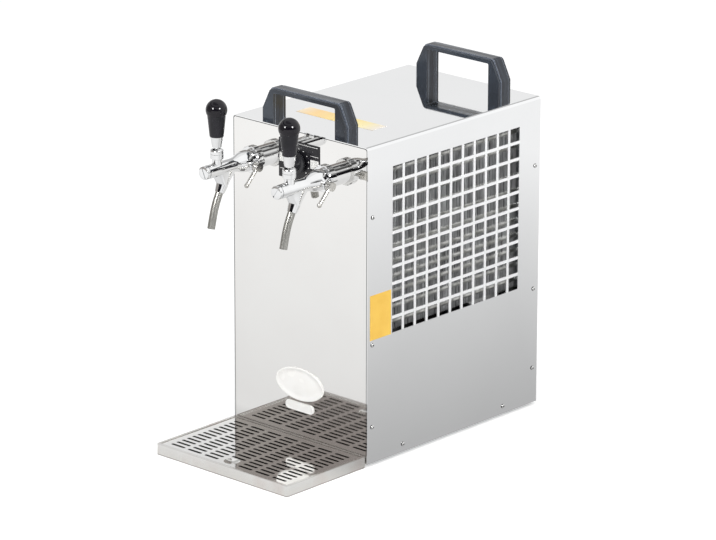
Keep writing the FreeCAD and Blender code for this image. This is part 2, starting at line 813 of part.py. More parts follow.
def ring_nut(word, x):
    """Knurled ring nut that pulls the tap's flange on to the shank."""
    nut = new_body(f"ring_{word}_body")
    back = -shank_flange_long
    face = back - ring_long
    lip = face + 2
    edge = as_size(1.0)
    drawing = sketch(nut, f"ring_{word}_half", "YZ_Plane")
    outline(drawing,
            (back, shank_spigot), (back, ring_radius - edge), (back - edge, ring_radius),
            (face + edge, ring_radius), (face, ring_radius - edge), (face, tap_neck),
            (lip, tap_neck), (lip, shank_spigot))
    revolve(nut, drawing, "H_Axis")
    groove = sketch(nut, f"ring_{word}_flute", "XZ_Plane", -face)
    circle(groove, 0.0, ring_radius + ring_flute / 2, ring_flute)
    flute = pocket(nut, groove, ring_long)
    around = nut.newObject("PartDesign::PolarPattern", f"ring_{word}_flutes")
    around.Originals = [flute]
    around.Axis = (plane_of(nut, "Y_Axis"), [""])
    around.Angle = 360
    bind(around, "Occurrences", ring_flutes)
    nut.Tip = around
    return put(nut, x, front, tap_height)


def tap_casting(word, x):
    """Tap body: compensator bulb, barrel, spout horn, lever collar and boss."""
    turned = new_body(f"tap_{word}_turned")
    drawing = sketch(turned, f"tap_{word}_half", "YZ_Plane")
    root = -(shank_flange_long + shank_spigot_long)
    face = -(shank_flange_long + ring_long)
    shoulder = face - 0.3
    swell = -compensator_at
    slope = -(compensator_at + barrel_from) / 2
    mid_radius = (compensator_radius + barrel_radius) / 2
    sweep = as_size(38.0)
    outline(drawing,
            (root, 0.0), (root, shank_spigot), (face + 2, shank_spigot), (face + 2, tap_neck),
            (shoulder, tap_neck), (shoulder, compensator_radius - 1.5),
            (swell, compensator_radius, sweep / 2, 1),
            (slope, mid_radius, sweep, 1), (-barrel_from, barrel_radius, sweep, -1),
            (-barrel_to, barrel_radius), (-barrel_to, 0.0))
    revolve(turned, drawing, "H_Axis")

    neck = new_body(f"tap_{word}_neck")
    rings = sketch(neck, f"tap_{word}_rings", "XZ_Plane", lever_at)
    middle = (collar_from + collar_to) / 2
    line = as_size(0.5)
    soft = as_size(2.4)
    outline(rings,
            (0.0, 2.0), (collar_radius - 1.8, 2.0), (collar_radius - 1.8, collar_from - 1),
            (collar_radius, collar_from), (collar_radius, middle - line),
            (collar_radius - line, middle - line), (collar_radius - line, middle),
            (collar_radius, middle), (collar_radius, collar_to - soft),
            (collar_radius - soft, collar_to, soft, 1), (0.0, collar_to))
    revolve(neck, rings, "V_Axis")

    lean = FreeCAD.Vector(1, 0, 0)
    nozzle = doc.addObject("Part::Cone", f"nozzle_{word}")
    bind(nozzle, "Radius1", horn_tip_radius)
    bind(nozzle, "Radius2", horn_nozzle_radius)
    bind(nozzle, "Height", horn_nozzle_long)
    nozzle.Placement.Rotation = FreeCAD.Rotation(lean, -spout_lean.number)
    put(nozzle, 0.0, -horn_tip_at, -horn_tip_down)

    sections = []
    sunk = as_size(0.5)
    up = horn_nozzle_long - sunk
    inside = horn_nozzle_radius - sunk * 0.3
    blend = ((horn_root, (horn_back + horn_front) / 2, (horn_front - horn_back) / 2,
              horn_half_wide, as_size(0.0)),
             (horn_waist_down, horn_waist_at, horn_waist_half_deep, horn_waist_half_wide,
              spout_lean / 3),
             (horn_tip_down - up * cosine(spout_lean), horn_tip_at - up * sine(spout_lean),
              inside, inside, spout_lean))
    for number, (down, at, half_deep, half_wide, tilt) in enumerate(blend):
        ring = doc.addObject("Part::Ellipse", f"horn_{word}_{number}")
        bind(ring, "MajorRadius", half_deep)
        bind(ring, "MinorRadius", half_wide)
        upright = FreeCAD.Rotation(FreeCAD.Vector(0, 0, 1), 90)
        ring.Placement.Rotation = FreeCAD.Rotation(lean, -tilt.number) * upright
        put(ring, 0.0, -at, -down)
        sections.append(ring)
    horn = doc.addObject("Part::Loft", f"horn_{word}")
    horn.Sections = sections
    horn.Solid = True
    boss = rod(f"flow_boss_{word}", "x", (0.0, -flow_at, -flow_down), flow_boss_out, flow_boss)
    casting = join(f"casting_{word}", turned, neck, horn, nozzle, boss)

    socket = doc.addObject("Part::Sphere", f"socket_{word}")
    bind(socket, "Radius", ball_radius + ball_clearance)
    put(socket, 0.0, -lever_at, pivot_up)
    stem_room = stem_radius + 0.35
    slot = box(f"lever_slot_{word}", (-stem_room, stem_room),
               (-lever_at - collar_radius + 0.9, collar_radius - 3.2 - lever_at),
               (pivot_up, collar_to + 1))
    spindle_bore = rod(f"spindle_bore_{word}", "x",
                       (flow_boss_out - flow_spindle_long - 0.4, -flow_at, -flow_down),
                       flow_spindle_long + 1.4, flow_spindle + running_clearance)
    seat = doc.addObject("Part::Cylinder", f"spout_seat_{word}")
    bind(seat, "Radius", spout_radius)
    bind(seat, "Height", spout_seat + 2)
    seat.Placement.Rotation = FreeCAD.Rotation(lean, -spout_lean.number)
    below = as_size(2.0)
    put(seat, 0.0, -(horn_tip_at + below * sine(spout_lean)),
        -(horn_tip_down + below * cosine(spout_lean)))
    inlet = rod(f"tap_inlet_{word}", "y", (0.0, -horn_tip_at, 0.0),
                horn_tip_at - shank_flange_long, shank_bore)
    outlet = rod(f"tap_outlet_{word}", "z", (0.0, 2 - horn_tip_at, -horn_tip_down + 6),
                 horn_tip_down - 6, shank_bore)
    carved = cut(f"tap_{word}_carved", casting, socket, slot, spindle_bore, seat, inlet, outlet)
    return put(carved, x, front, tap_height)


def front_cap(word, x):
    """Domed screw cap that closes the barrel's front end."""
    turned = new_body(f"cap_{word}_body")
    drawing = sketch(turned, f"cap_{word}_half", "YZ_Plane")
    start = -barrel_to
    end = start - cap_long
    inner = cap_radius - 2.5
    outline(drawing, (start, 0.0), (start, cap_radius - 0.8), (start - 0.8, cap_radius),
            (start - 2.5, cap_radius), (end, inner, as_size(2.5), 1), (end, 0.0))
    revolve(turned, drawing, "H_Axis")
    return put(turned, x, front, tap_height)


def spout(word, x):
    """Bent steel spout pressed into the horn."""
    lean = (-sine(spout_lean), -cosine(spout_lean))
    end_lean = (-sine(spout_end_lean), -cosine(spout_end_lean))
    tip = (-horn_tip_at, -horn_tip_down)
    begin = [tip[i] - lean[i] * spout_seat for i in (0, 1)]
    knee = [tip[i] + lean[i] * spout_first for i in (0, 1)]
    end = [knee[i] + end_lean[i] * spout_last for i in (0, 1)]
    route = [(0.0, *place) for place in (begin, knee, end)]
    piece = tube(f"spout_{word}_tube", [route], spout_radius, spout_radius - spout_wall)
    return put(piece, x, front, tap_height)


def tap_lever(word, x):
    """Ball, stem and ferrule of the lever, turned in one piece."""
    turned = new_body(f"lever_{word}_body")
    drawing = sketch(turned, f"lever_{word}_half", "XZ_Plane")
    rise = Size(f"sqrt({ball_radius.text}^2 - {stem_radius.text}^2)",
                math.sqrt(ball_radius.number**2 - stem_radius.number**2))
    outline(drawing,
            (0.0, pivot_up - ball_radius), (ball_radius, pivot_up, ball_radius, 1),
            (stem_radius, pivot_up + rise, ball_radius, 1), (stem_radius, ferrule_from),
            (ferrule_low_radius, ferrule_from), (ferrule_high_radius, ferrule_to),
            (0.0, ferrule_to))
    revolve(turned, drawing, "V_Axis")
    return put(turned, x, front - lever_at, tap_height)


def tap_knob(word, x):
    """Turned handle: a cone that widens upwards under a ball."""
    turned = new_body(f"knob_{word}_body")
    drawing = sketch(turned, f"knob_{word}_half", "XZ_Plane")
    drop = as_size(6.0)
    step = as_size(0.4)
    girth = Size(f"sqrt({knob_ball_radius.text}^2 - {drop.text}^2)",
                 math.sqrt(knob_ball_radius.number**2 - drop.number**2))
    shoulder = knob_ball_up - drop
    outline(drawing,
            (0.0, ferrule_to), (knob_low_radius - 0.6, ferrule_to),
            (knob_low_radius, ferrule_to + 0.6), (girth - step, shoulder - step),
            (girth, shoulder), (knob_ball_radius, knob_ball_up, knob_ball_radius, 1),
            (0.0, knob_ball_up + knob_ball_radius, knob_ball_radius, 1))
    revolve(turned, drawing, "V_Axis")
    return put(turned, x, front - lever_at, tap_height)


def flow_lever(word, x):
    """Compensator lever: hub on a spindle, with an arm that ends in a ball."""
    hub_at = flow_boss_out + turning_gap
    hub = rod(f"flow_hub_{word}", "x", (hub_at, 0.0, 0.0), flow_hub_long, flow_hub)
    pin = rod(f"flow_pin_{word}", "x", (hub_at - flow_spindle_long, 0.0, 0.0),
              flow_spindle_long + 1, flow_spindle)
    arm = doc.addObject("Part::Cylinder", f"flow_arm_{word}")
    bind(arm, "Radius", flow_arm)
    bind(arm, "Height", flow_arm_long)
    arm.Placement.Rotation = FreeCAD.Rotation(FreeCAD.Vector(1, 0, 0),
                                              90 + flow_arm_angle.number)
    put(arm, hub_at + flow_hub_long / 2, 0.0, 0.0)
    tip = doc.addObject("Part::Sphere", f"flow_tip_{word}")
    bind(tip, "Radius", flow_arm * 1.2)
    put(tip, hub_at + flow_hub_long / 2, -flow_arm_long * cosine(flow_arm_angle),
        -flow_arm_long * sine(flow_arm_angle))
    lever = join(f"flow_lever_{word}", hub, pin, arm, tip)
    return put(lever, x, front - flow_at, tap_height - flow_down)


shank_nuts = []
for word, x in tap_places:
    keep(f"tap_shank_{word}", shank(word, x))
    keep(f"coupling_nut_{word}", ring_nut(word, x))
    keep(f"tap_body_{word}", tap_casting(word, x))
    keep(f"front_cap_{word}", front_cap(word, x))
    keep(f"spout_{word}", spout(word, x))
    keep(f"tap_lever_{word}", tap_lever(word, x))
    keep(f"tap_knob_{word}", tap_knob(word, x))
    keep(f"flow_lever_{word}", flow_lever(word, x))
    hexagon = doc.addObject("Part::Prism", f"shank_nut_{word}")
    hexagon.Polygon = 6
    bind(hexagon, "Circumradius", shank_thread * 1.7)
    bind(hexagon, "Height", as_size(7.0))
    hexagon.Placement.Rotation = TURN["y"]
    put(hexagon, x, front + panel_sheet, tap_height)
    bore = rod(f"shank_nut_bore_{word}", "y", (x, front, tap_height), as_size(10.0), shank_thread)
    shank_nuts.append(cut(f"shank_nut_{word}_cut", hexagon, bore))
keep("shank_nuts", group("shank_nut_pair", *shank_nuts))

# Drip tray: a folded pan with a hem and a ledge, open at the top
tray_half = side - tray_inset
tray_rear = front - tray_gap
tray_front = tray_rear - tray_depth
ledge = tray_rim + 3
ledge_top = tray_high - grid_sink - grid_sheet


def inset_rectangle(drawing, inset):
    rectangle(drawing, (inset - tray_half, tray_half - inset),
              (tray_front + inset, tray_rear - inset))


tray = new_body("tray_body")
footprint = sketch(tray, "tray_footprint", "XY_Plane", 0.0)
inset_rectangle(footprint, as_size(0.0))
slab = pad(tray, footprint, tray_high)
fillet(tray, slab, 2.0, lambda p: near(p.z, tray_high / 2))
mouth = sketch(tray, "tray_mouth", "XY_Plane", tray_high)
inset_rectangle(mouth, tray_rim)
pocket(tray, mouth, tray_high - ledge_top)
under_grid = sketch(tray, "tray_under_grid", "XY_Plane", ledge_top)
inset_rectangle(under_grid, ledge)
pocket(tray, under_grid, tray_sheet)
basin = sketch(tray, "tray_basin", "XY_Plane", ledge_top - tray_sheet)
inset_rectangle(basin, tray_sheet * 2)
pocket(tray, basin, ledge_top - tray_sheet * 2)
keep("drip_tray", tray)

# Drip grid: a plate on the tray's ledge with rows of slots and a finger hole in
# place of the middle column's front slots
grid = new_body("grid_body")
sheet_edge = sketch(grid, "grid_edge", "XY_Plane", ledge_top)
inset_rectangle(sheet_edge, tray_rim + grid_clearance)
pad(grid, sheet_edge, grid_sheet)
first_row = tray_front + slot_first_row
side_columns = slot_columns_side * slot_pitch_across
finger_rows = 2
for word, x, columns, skipped in (("left", -side_columns, slot_columns_side, 0),
                                  ("right", slot_pitch_across, slot_columns_side, 0),
                                  ("middle", as_size(0.0), as_size(1), finger_rows)):
    drawing = sketch(grid, f"slot_{word}", "XY_Plane", ledge_top + grid_sheet)
    row = first_row + skipped * slot_pitch_deep
    round_slot(drawing, x, row, slot_long, slot_radius)
    cell = pocket(grid, drawing, grid_sheet)
    repeat(grid, cell, drawing, columns, slot_pitch_across, slot_rows - skipped, slot_pitch_deep)
finger = sketch(grid, "finger_hole", "XY_Plane", ledge_top + grid_sheet)
circle(finger, 0.0, tray_front + finger_at, finger_radius)
pocket(grid, finger, grid_sheet)
keep("drip_grid", grid)

# Condenser: upright fins on a level serpentine tube, between two end plates
fins_right = inner_side - condenser_gap
fins_left = fins_right - fin_deep
fins_front = front + condenser_setback
condenser_top = condenser_low + condenser_high
fins = [box(f"fin_{number}", (fins_left, fins_right),
            (fins_front + number * fin_pitch, fins_front + number * fin_pitch + fin_thick),
            (condenser_low, condenser_top))
        for number in range(int(fin_count.number))]
fins_rear = fins_front + fin_count * fin_pitch
tube_x = fins_right - tube_radius + tube_proud
tube_low = condenser_low + (condenser_high - (tube_rows - 1) * tube_pitch) / 2
end_sheet = as_size(1.2)
runs = []
for number in range(int(tube_rows.number)):
    runs.append(rod(f"run_{number}", "y", (tube_x, fins_front - 4, tube_low + number * tube_pitch),
                    fins_rear - fins_front + 8, tube_radius))
for number in range(int(tube_rows.number) - 1):
    bend = doc.addObject("Part::Torus", f"return_bend_{number}")
    bind(bend, "Radius1", tube_pitch / 2)
    bind(bend, "Radius2", tube_radius)
    bend.Angle3 = 180
    at_rear = number % 2 == 0
    level = tube_low + (number + 0.5) * tube_pitch
    flat = FreeCAD.Rotation(FreeCAD.Vector(0, 1, 0), 90)
    roll = FreeCAD.Rotation(FreeCAD.Vector(1, 0, 0), 0 if at_rear else 180)
    bend.Placement.Rotation = roll * flat
    put(bend, tube_x, fins_rear + 4 if at_rear else fins_front - 4, level)
    runs.append(bend)
keep("condenser_tubes", join("serpentine", *runs))
keep("condenser_fins", group("fin_stack", *fins))
tube_drills = [rod(f"tube_drill_{number}", "y",
                   (tube_x, fins_front - 5, tube_low + number * tube_pitch),
                   fins_rear - fins_front + 10, tube_radius)
               for number in range(int(tube_rows.number))]
tube_passage = join("tube_passage", *tube_drills)
ends = [box("end_front", (fins_left, fins_right + tube_radius), (fins_front - end_sheet, fins_front),
            (condenser_low, condenser_top)),
        box("end_rear", (fins_left, fins_right + tube_radius), (fins_rear, fins_rear + end_sheet),
            (condenser_low, condenser_top))]
keep("condenser_end_plates", cut("ends_drilled", group("ends", *ends), tube_passage))

# Fan shroud behind the condenser, the fan in its mouth and the motor on four arms
shroud_left = fins_left - shroud_deep
shroud_sheet = as_size(1.2)
fan_y = (fins_front + fins_rear) / 2
fan_z = condenser_low + condenser_high / 2
shroud_outer = box("shroud_outer", (shroud_left, fins_left),
                   (fins_front - end_sheet, fins_rear + end_sheet),
                   (condenser_low, condenser_top))
shroud_inner = box("shroud_inner", (shroud_left + shroud_sheet, fins_left + 1),
                   (fins_front, fins_rear),
                   (condenser_low + shroud_sheet, condenser_top - shroud_sheet))
fan_mouth = rod("fan_mouth", "x", (shroud_left - 1, fan_y, fan_z), shroud_sheet + 2,
                fan_radius + fan_tip_gap)
keep("fan_shroud", cut("shroud_open", shroud_outer, shroud_inner, fan_mouth))
motor_left = shroud_left - 42
motor_right = motor_left + motor_long
can = rod("motor_can", "x", (motor_left, fan_y, fan_z), motor_long, motor_radius)
arms = []
arm_sheet = as_size(2.0)
arm_wide = as_size(10.0)
reach = fan_radius + fan_tip_gap + 8
for word, y, z in (("top", arm_wide / 2, reach), ("side", reach, arm_wide / 2)):
    arms.append(box(f"arm_{word}", (motor_left + 4, motor_left + 4 + arm_sheet),
                    (fan_y - y, fan_y + y), (fan_z - z, fan_z + z)))
for number, (y, z) in enumerate(((0, 1), (0, -1), (1, 0), (-1, 0))):
    wide_y = arm_sheet if y else arm_wide / 2
    wide_z = arm_sheet if z else arm_wide / 2
    centre_y = fan_y + y * (reach - arm_sheet)
    centre_z = fan_z + z * (reach - arm_sheet)
    arms.append(box(f"arm_foot_{number}", (motor_left + 4, shroud_left),
                    (centre_y - wide_y, centre_y + wide_y), (centre_z - wide_z, centre_z + wide_z)))
hub_left = motor_right + 3
shaft_in = as_size(12.0)
shaft_bore = rod("shaft_bore", "x", (motor_right - shaft_in - 1, fan_y, fan_z), shaft_in + 2,
                 fan_shaft + running_clearance)
keep("fan_motor", cut("motor_bored", join("motor_and_arms", can, *arms), shaft_bore))
hub_long = fins_left - 4 - hub_left
hub = rod("fan_hub", "x", (hub_left, fan_y, fan_z), hub_long, fan_hub_radius)
shaft = rod("fan_shaft", "x", (motor_right - shaft_in, fan_y, fan_z), shaft_in + 4, fan_shaft)
blades = []
for number in range(int(fan_blade_count.number)):
    blade = doc.addObject("Part::Box", f"blade_{number}")
    bind(blade, "Length", blade_sheet)
    bind(blade, "Width", blade_chord)
    bind(blade, "Height", fan_radius - fan_hub_radius / 2 + 4)
    centre = FreeCAD.Vector(-blade_sheet.number / 2, -blade_chord.number / 2, fan_hub_radius.number / 2)
    turn = FreeCAD.Rotation(FreeCAD.Vector(1, 0, 0), number * 360 / fan_blade_count.number)
    twist = FreeCAD.Rotation(FreeCAD.Vector(0, 0, 1), blade_angle.number)
    spot = (turn * twist).multVec(centre)
    blade.Placement.Rotation = turn * twist
    put(blade, hub_left + hub_long / 2 + spot.x, fan_y + spot.y, fan_z + spot.z)
    blades.append(blade)
sweep = rod("blade_sweep", "x", (hub_left - 6, fan_y, fan_z), hub_long + 12, fan_radius)
rounded = doc.addObject("Part::Common", "blades_rounded")
rounded.Base = join("blade_set", *blades)
rounded.Tool = sweep
keep("fan_blades", join("fan_wheel", hub, shaft, rounded))

# Cooling block in its insulation
foam_left = -inner_side + 1
foam_right = foam_left + insulation_wide
foam_front = front + insulation_setback
foam_rear = foam_front + insulation_deep
foam_top = insulation_low + insulation_high
foam = box("foam_blank", (foam_left, foam_right), (foam_front, foam_rear), (insulation_low, foam_top))
core_spans = ((foam_left + block_wall, foam_right - block_wall),
              (foam_front + block_wall, foam_rear - block_wall),
              (insulation_low + block_wall, foam_top - block_wall))
keep("cooling_block", box("block_core", *core_spans))
core_room = box("core_room", *core_spans)

# Beer lines: from each rear inlet into the block, and from the block to each shank
inlet_places = (("left", -inlet_left - inlet_spacing / 2), ("right", inlet_spacing / 2 - inlet_left))
coupling_tail = as_size(16)
inlet_tail = rear - panel_sheet - coupling_tail
tap_y = front + shank_tail
hose_straight = as_size(42)
side_way = tap_y + hose_straight
left_tap = -tap_spacing / 2
right_tap = tap_spacing / 2
beer_routes = [((left_tap, tap_y, tap_height), (left_tap, foam_front + block_wall, tap_height)),
               ((right_tap, tap_y, tap_height), (right_tap, side_way, tap_height),
                (foam_right - block_wall, side_way, tap_height))]
for word, x in inlet_places:
    beer_routes.append(((x, inlet_tail, inlet_height), (x, foam_rear - block_wall, inlet_height)))
beer = tube("beer_line_tubes", beer_routes, beer_tube)
keep("beer_lines", beer)

# Compressor: a domed steel can with a seam, on a plate with four rubber grommets
can_x = as_size(compressor_right)
can_y = front + compressor_setback
plate_low = pan_floor + grommet_high
steel = as_size(2.5)
shell = new_body("compressor_shell")
drawing = sketch(shell, "compressor_half", "XZ_Plane")
seam = compressor_high * 0.45
dome = as_size(22.0)
seam_out = as_size(3.0)
radius = compressor_radius
flat = radius - dome
outline(drawing,
        (0.0, 0.0), (flat, 0.0), (radius, dome, dome, 1), (radius, seam),
        (radius + seam_out, seam), (radius + seam_out, seam + 3), (radius, seam + 3),
        (radius, compressor_high - dome), (flat, compressor_high, dome, 1),
        (0.0, compressor_high))
revolve(shell, drawing, "V_Axis")
put(shell, can_x, can_y, plate_low + 1)
foot_plate = box("compressor_plate", (can_x - radius - 4, can_x + radius + 4),
                 (can_y - radius - 4, can_y + radius + 4), (plate_low, plate_low + steel))
keep("compressor", join("compressor_welded", shell, foot_plate))
grommets = []
grommet_reach = radius - 5
for x_way in (-1, 1):
    for y_way in (-1, 1):
        place = (can_x + x_way * grommet_reach, can_y + y_way * grommet_reach, pan_floor)
        grommets.append(rod(f"grommet_{x_way + 1}{y_way + 1}", "z", place, grommet_high, as_size(8.0)))
keep("compressor_grommets", group("grommet_set", *grommets))
terminal_deep = as_size(22.0)
terminal = box("terminal_blank", (can_x - 24, can_x + 24),
               (can_y - radius - terminal_deep, can_y - radius + 14),
               (plate_low + steel + 12, plate_low + steel + 46))
shell_copy = rod("terminal_round", "z", (can_x, can_y, plate_low), compressor_high, radius)
keep("terminal_box", cut("terminal_fitted", terminal, shell_copy))

# Refrigerant lines: hot gas up to the condenser, liquid to the block, gas back
shell_top = plate_low + 1 + compressor_high
hot = ((can_x + 20, can_y - 10, shell_top - 6), (can_x + 20, can_y - 10, shell_top + 14),
       (can_x + 20, can_y - 40, shell_top + 16), (tube_x - 20, fins_front - 6, shell_top + 18),
       (tube_x, fins_front - 16, tube_low - 14), (tube_x, fins_front - 16, tube_low),
       (tube_x, fins_front - 4, tube_low))
top_level = tube_low + (tube_rows - 1) * tube_pitch
liquid = ((tube_x, fins_rear + 4, top_level), (tube_x, fins_rear + 22, top_level),
          (foam_right - 14, fins_rear + 24, top_level), (foam_right - 14, foam_rear - block_wall, top_level))
back = ((can_x - 30, can_y, shell_top - 6), (can_x - 30, can_y, insulation_low + block_wall))
copper = tube("copper_lines", (hot, liquid, back), copper_tube)
keep("refrigerant_lines", copper)
line_ways = doc.addObject("Part::Feature", "line_ways")
line_ways.Shape = Part.makeCompound([beer.Shape, copper.Shape])
keep("insulation_box", cut("foam_bored", foam, core_room, line_ways))

# Air pump for the keg's gas line, with its cylinder head
pump_x = -inner_side + 12
pump_y = front + 34
pump_case = box("pump_case", (pump_x, pump_x + pump_wide), (pump_y, pump_y + pump_deep),
                (pan_floor, pan_floor + pump_high * 0.6))
pump_head = rod("pump_head", "z", (pump_x + pump_wide / 2, pump_y + pump_deep * 0.3, pan_floor + 10),
                pump_high - 10, pump_wide * 0.36)
pump_motor = rod("pump_motor", "y", (pump_x + pump_wide / 2, pump_y + pump_deep * 0.5,
                 pan_floor + pump_high * 0.6), pump_deep * 0.5, pump_wide * 0.3)
keep("air_pump", join("pump_whole", pump_case, pump_head, pump_motor))


# Rear fittings: push-in couplings for the two beer lines and the air line
def coupling(name, x, z, radius, bore, out):
    """A bulkhead coupling: hexagon flange, round push ring and a threaded tail."""
    flange = doc.addObject("Part::Prism", name + "_hexagon")
    flange.Polygon = 6
    bind(flange, "Circumradius", radius * 1.25)
    bind(flange, "Height", out * 0.45)
    flange.Placement.Rotation = TURN["y"]
    put(flange, x, rear, z)
    push_ring = rod(name + "_ring", "y", (x, rear, z), out, radius * 0.9)
    thread = rod(name + "_thread", "y", (x, inlet_tail, z), panel_sheet + coupling_tail + 1,
                 radius * 0.7)
    mouth = rod(name + "_mouth", "y", (x, rear + out - 16, z), as_size(17.0), bore)
    passage = rod(name + "_passage", "y", (x, inlet_tail - 1, z), out + 10, bore * 0.6)
    return cut(name + "_bored", join(name + "_solid", flange, push_ring, thread), mouth, passage)


fitting_holes = []
for word, x in inlet_places:
    inlet = coupling(f"inlet_{word}", x, inlet_height, inlet_radius, inlet_bore, inlet_out)
    keep(f"beer_inlet_{word}", inlet)
    fitting_holes.append(rod(f"inlet_hole_{word}", "y", (x, rear - panel_sheet - 1, inlet_height),
                             panel_sheet + 2, inlet_radius * 0.7))
air_radius = inlet_radius * 0.75
air_bore = as_size(3.05)
keep("air_outlet", coupling("air", -inlet_left, air_out_height, air_radius, air_bore, inlet_out * 0.9))
fitting_holes.append(rod("air_hole", "y", (-inlet_left, rear - panel_sheet - 1, air_out_height),
                         panel_sheet + 2, air_radius * 0.7))


# Mains inlet and the two rocker switches
def framed(name, x, z, wide, high, deep, lip):
    """A rectangular bezel on the panel with its body behind it."""
    bezel = box(name + "_bezel", (x - wide / 2 - lip, x + wide / 2 + lip), (rear, rear + 2),
                (z - high / 2 - lip, z + high / 2 + lip))
    body = box(name + "_shell", (x - wide / 2, x + wide / 2), (rear - deep, rear + 1),
               (z - high / 2, z + high / 2))
    return join(name + "_whole", bezel, body)


def span(middle, whole, inset=0):
    """The two ends of a length about its middle, each drawn in by the inset."""
    return (middle - whole / 2 + inset, middle + whole / 2 - inset)


wall = as_size(1.5)
socket_lip = as_size(3.0)
socket_back = as_size(4)
pin_places = ((-7, -2), (7, -2), (0, 3))
pin_wide = 2
pin_high = 4
through_panel = (rear - panel_sheet - 1, rear + 1)
socket = framed("mains", electric_right, socket_centre_height, socket_wide, socket_high,
                socket_deep, socket_lip)
socket_room = box("mains_room", span(electric_right, socket_wide, wall),
                  (rear - socket_deep + socket_back, rear + 3),
                  span(socket_centre_height, socket_high, wall))
pins = [box(f"mains_pin_{number}", span(electric_right + across, pin_wide),
            (rear - socket_deep + socket_back - 1, rear - 5),
            span(socket_centre_height + up, pin_high))
        for number, (across, up) in enumerate(pin_places)]
keep("mains_inlet", join("mains_with_pins", cut("mains_hollow", socket, socket_room), *pins))
cutouts = [box("mains_cutout", span(electric_right, socket_wide), through_panel,
               span(socket_centre_height, socket_high))]
switch_deep = as_size(17.0)
switch_lip = as_size(2.0)
switch_back = as_size(3)
rocker_gap = as_size(0.3)
rocker_radius = switch_high / 2 - wall - rocker_gap
rocker_wide = switch_wide - 2 * wall - 2 * rocker_gap
rocker_tilt = 10
rocker_block = as_size(12.0)
for word, level in (("power", 1), ("pump", 2)):
    z = socket_centre_height + level * switch_spacing
    housing = framed(f"{word}_switch", electric_right, z, switch_wide, switch_high,
                     switch_deep, switch_lip)
    room = box(f"{word}_room", span(electric_right, switch_wide, wall),
               (rear - switch_deep + switch_back, rear + 3), span(z, switch_high, wall))
    keep(f"{word}_switch_frame", cut(f"{word}_switch_hollow", housing, room))
    cutouts.append(box(f"{word}_cutout", span(electric_right, switch_wide), through_panel,
                       span(z, switch_high)))
    drum = rod(f"{word}_drum", "x", (electric_right - rocker_wide / 2, rear - 1, z),
               rocker_wide, rocker_radius)
    faces = []
    for half, turn in (("upper", -2 * rocker_tilt), ("lower", -90)):
        block = box(f"{word}_{half}_face", (0.0, rocker_wide + 2), (0.0, rocker_block),
                    (0.0, rocker_block))
        block.Placement.Rotation = FreeCAD.Rotation(FreeCAD.Vector(1, 0, 0), turn)
        put(block, electric_right - rocker_wide / 2 - 1, rear + rocker_rise, z)
        faces.append(block)
    keep(f"{word}_rocker", cut(f"{word}_rocker_shaped", drum, *faces))
rear_sheet = panel("rear", rear, -1)
keep("rear_panel", cut("rear_cut", rear_sheet, side_holes, *fitting_holes, *cutouts))

doc.recompute()

faults = []
for thing in doc.Objects:
    if "Invalid" in thing.State or "Error" in thing.State:
        faults.append(f"{thing.Name} did not compute: {thing.State}")
for name, thing in nodes.items():
    shape = thing.Shape
    if shape.isNull() or not shape.isValid() or not shape.Solids:
        faults.append(f"{name} has no valid solid")
for fault in faults:
    print(fault, flush=True)
if faults:
    sys.exit(1)
for name, thing in nodes.items():
    thing.Shape.exportStep(f"parts/{name}.step")
print(len(nodes), "pieces written")
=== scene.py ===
import bpy
import bmesh
import math
from mathutils import Matrix, Vector


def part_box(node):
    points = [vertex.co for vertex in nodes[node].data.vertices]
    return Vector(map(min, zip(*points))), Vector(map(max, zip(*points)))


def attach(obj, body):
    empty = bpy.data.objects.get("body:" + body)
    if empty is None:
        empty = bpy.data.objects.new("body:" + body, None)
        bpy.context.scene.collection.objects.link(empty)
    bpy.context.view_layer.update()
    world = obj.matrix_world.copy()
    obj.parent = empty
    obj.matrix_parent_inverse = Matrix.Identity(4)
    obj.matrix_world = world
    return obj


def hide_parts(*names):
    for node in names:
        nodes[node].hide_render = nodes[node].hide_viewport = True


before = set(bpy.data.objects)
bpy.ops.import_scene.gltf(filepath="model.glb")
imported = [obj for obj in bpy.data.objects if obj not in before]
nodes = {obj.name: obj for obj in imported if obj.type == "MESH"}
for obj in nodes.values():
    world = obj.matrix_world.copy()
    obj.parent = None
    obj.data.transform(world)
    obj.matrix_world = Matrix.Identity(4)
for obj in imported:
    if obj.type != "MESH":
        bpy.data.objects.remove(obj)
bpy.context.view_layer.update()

# The base pan is folded from zinc-coated sheet and carries everything. Its coating shows
# faint crystals of different greys. It stands on four turned rubber feet.
mm = 0.001


def new_finish(name, colour, roughness, metallic=0.0):
    """A material with one plain surface shader, ready for its detail."""
    finish = bpy.data.materials.new(name)
    finish.use_nodes = True
    surface = finish.node_tree.nodes["Principled BSDF"]
    surface.inputs["Base Color"].default_value = (*colour, 1)
    surface.inputs["Roughness"].default_value = roughness
    surface.inputs["Metallic"].default_value = metallic
    return finish, surface


def add_node(finish, kind, **values):
    """A shader node with its sockets or settings filled in by name."""
    node = finish.node_tree.nodes.new(kind)
    for key, value in values.items():
        title = key.replace("_", " ")
        if title in node.inputs:
            node.inputs[title].default_value = value
        else:
            setattr(node, key, value)
    return node


def wire(finish, start, end):
    finish.node_tree.links.new(start, end)


def place_on(finish, stretch=(1, 1, 1)):
    """Coordinates fixed to the piece, stretched for a pattern."""
    coordinates = add_node(finish, "ShaderNodeTexCoord")
    mapping = add_node(finish, "ShaderNodeMapping", Scale=stretch)
    wire(finish, coordinates.outputs["Object"], mapping.inputs["Vector"])
    return mapping.outputs["Vector"]


def dress(finish, *names):
    """Give CAD nodes their finish."""
    for name in names:
        for one in nodes[name].material_slots:
            one.material = finish


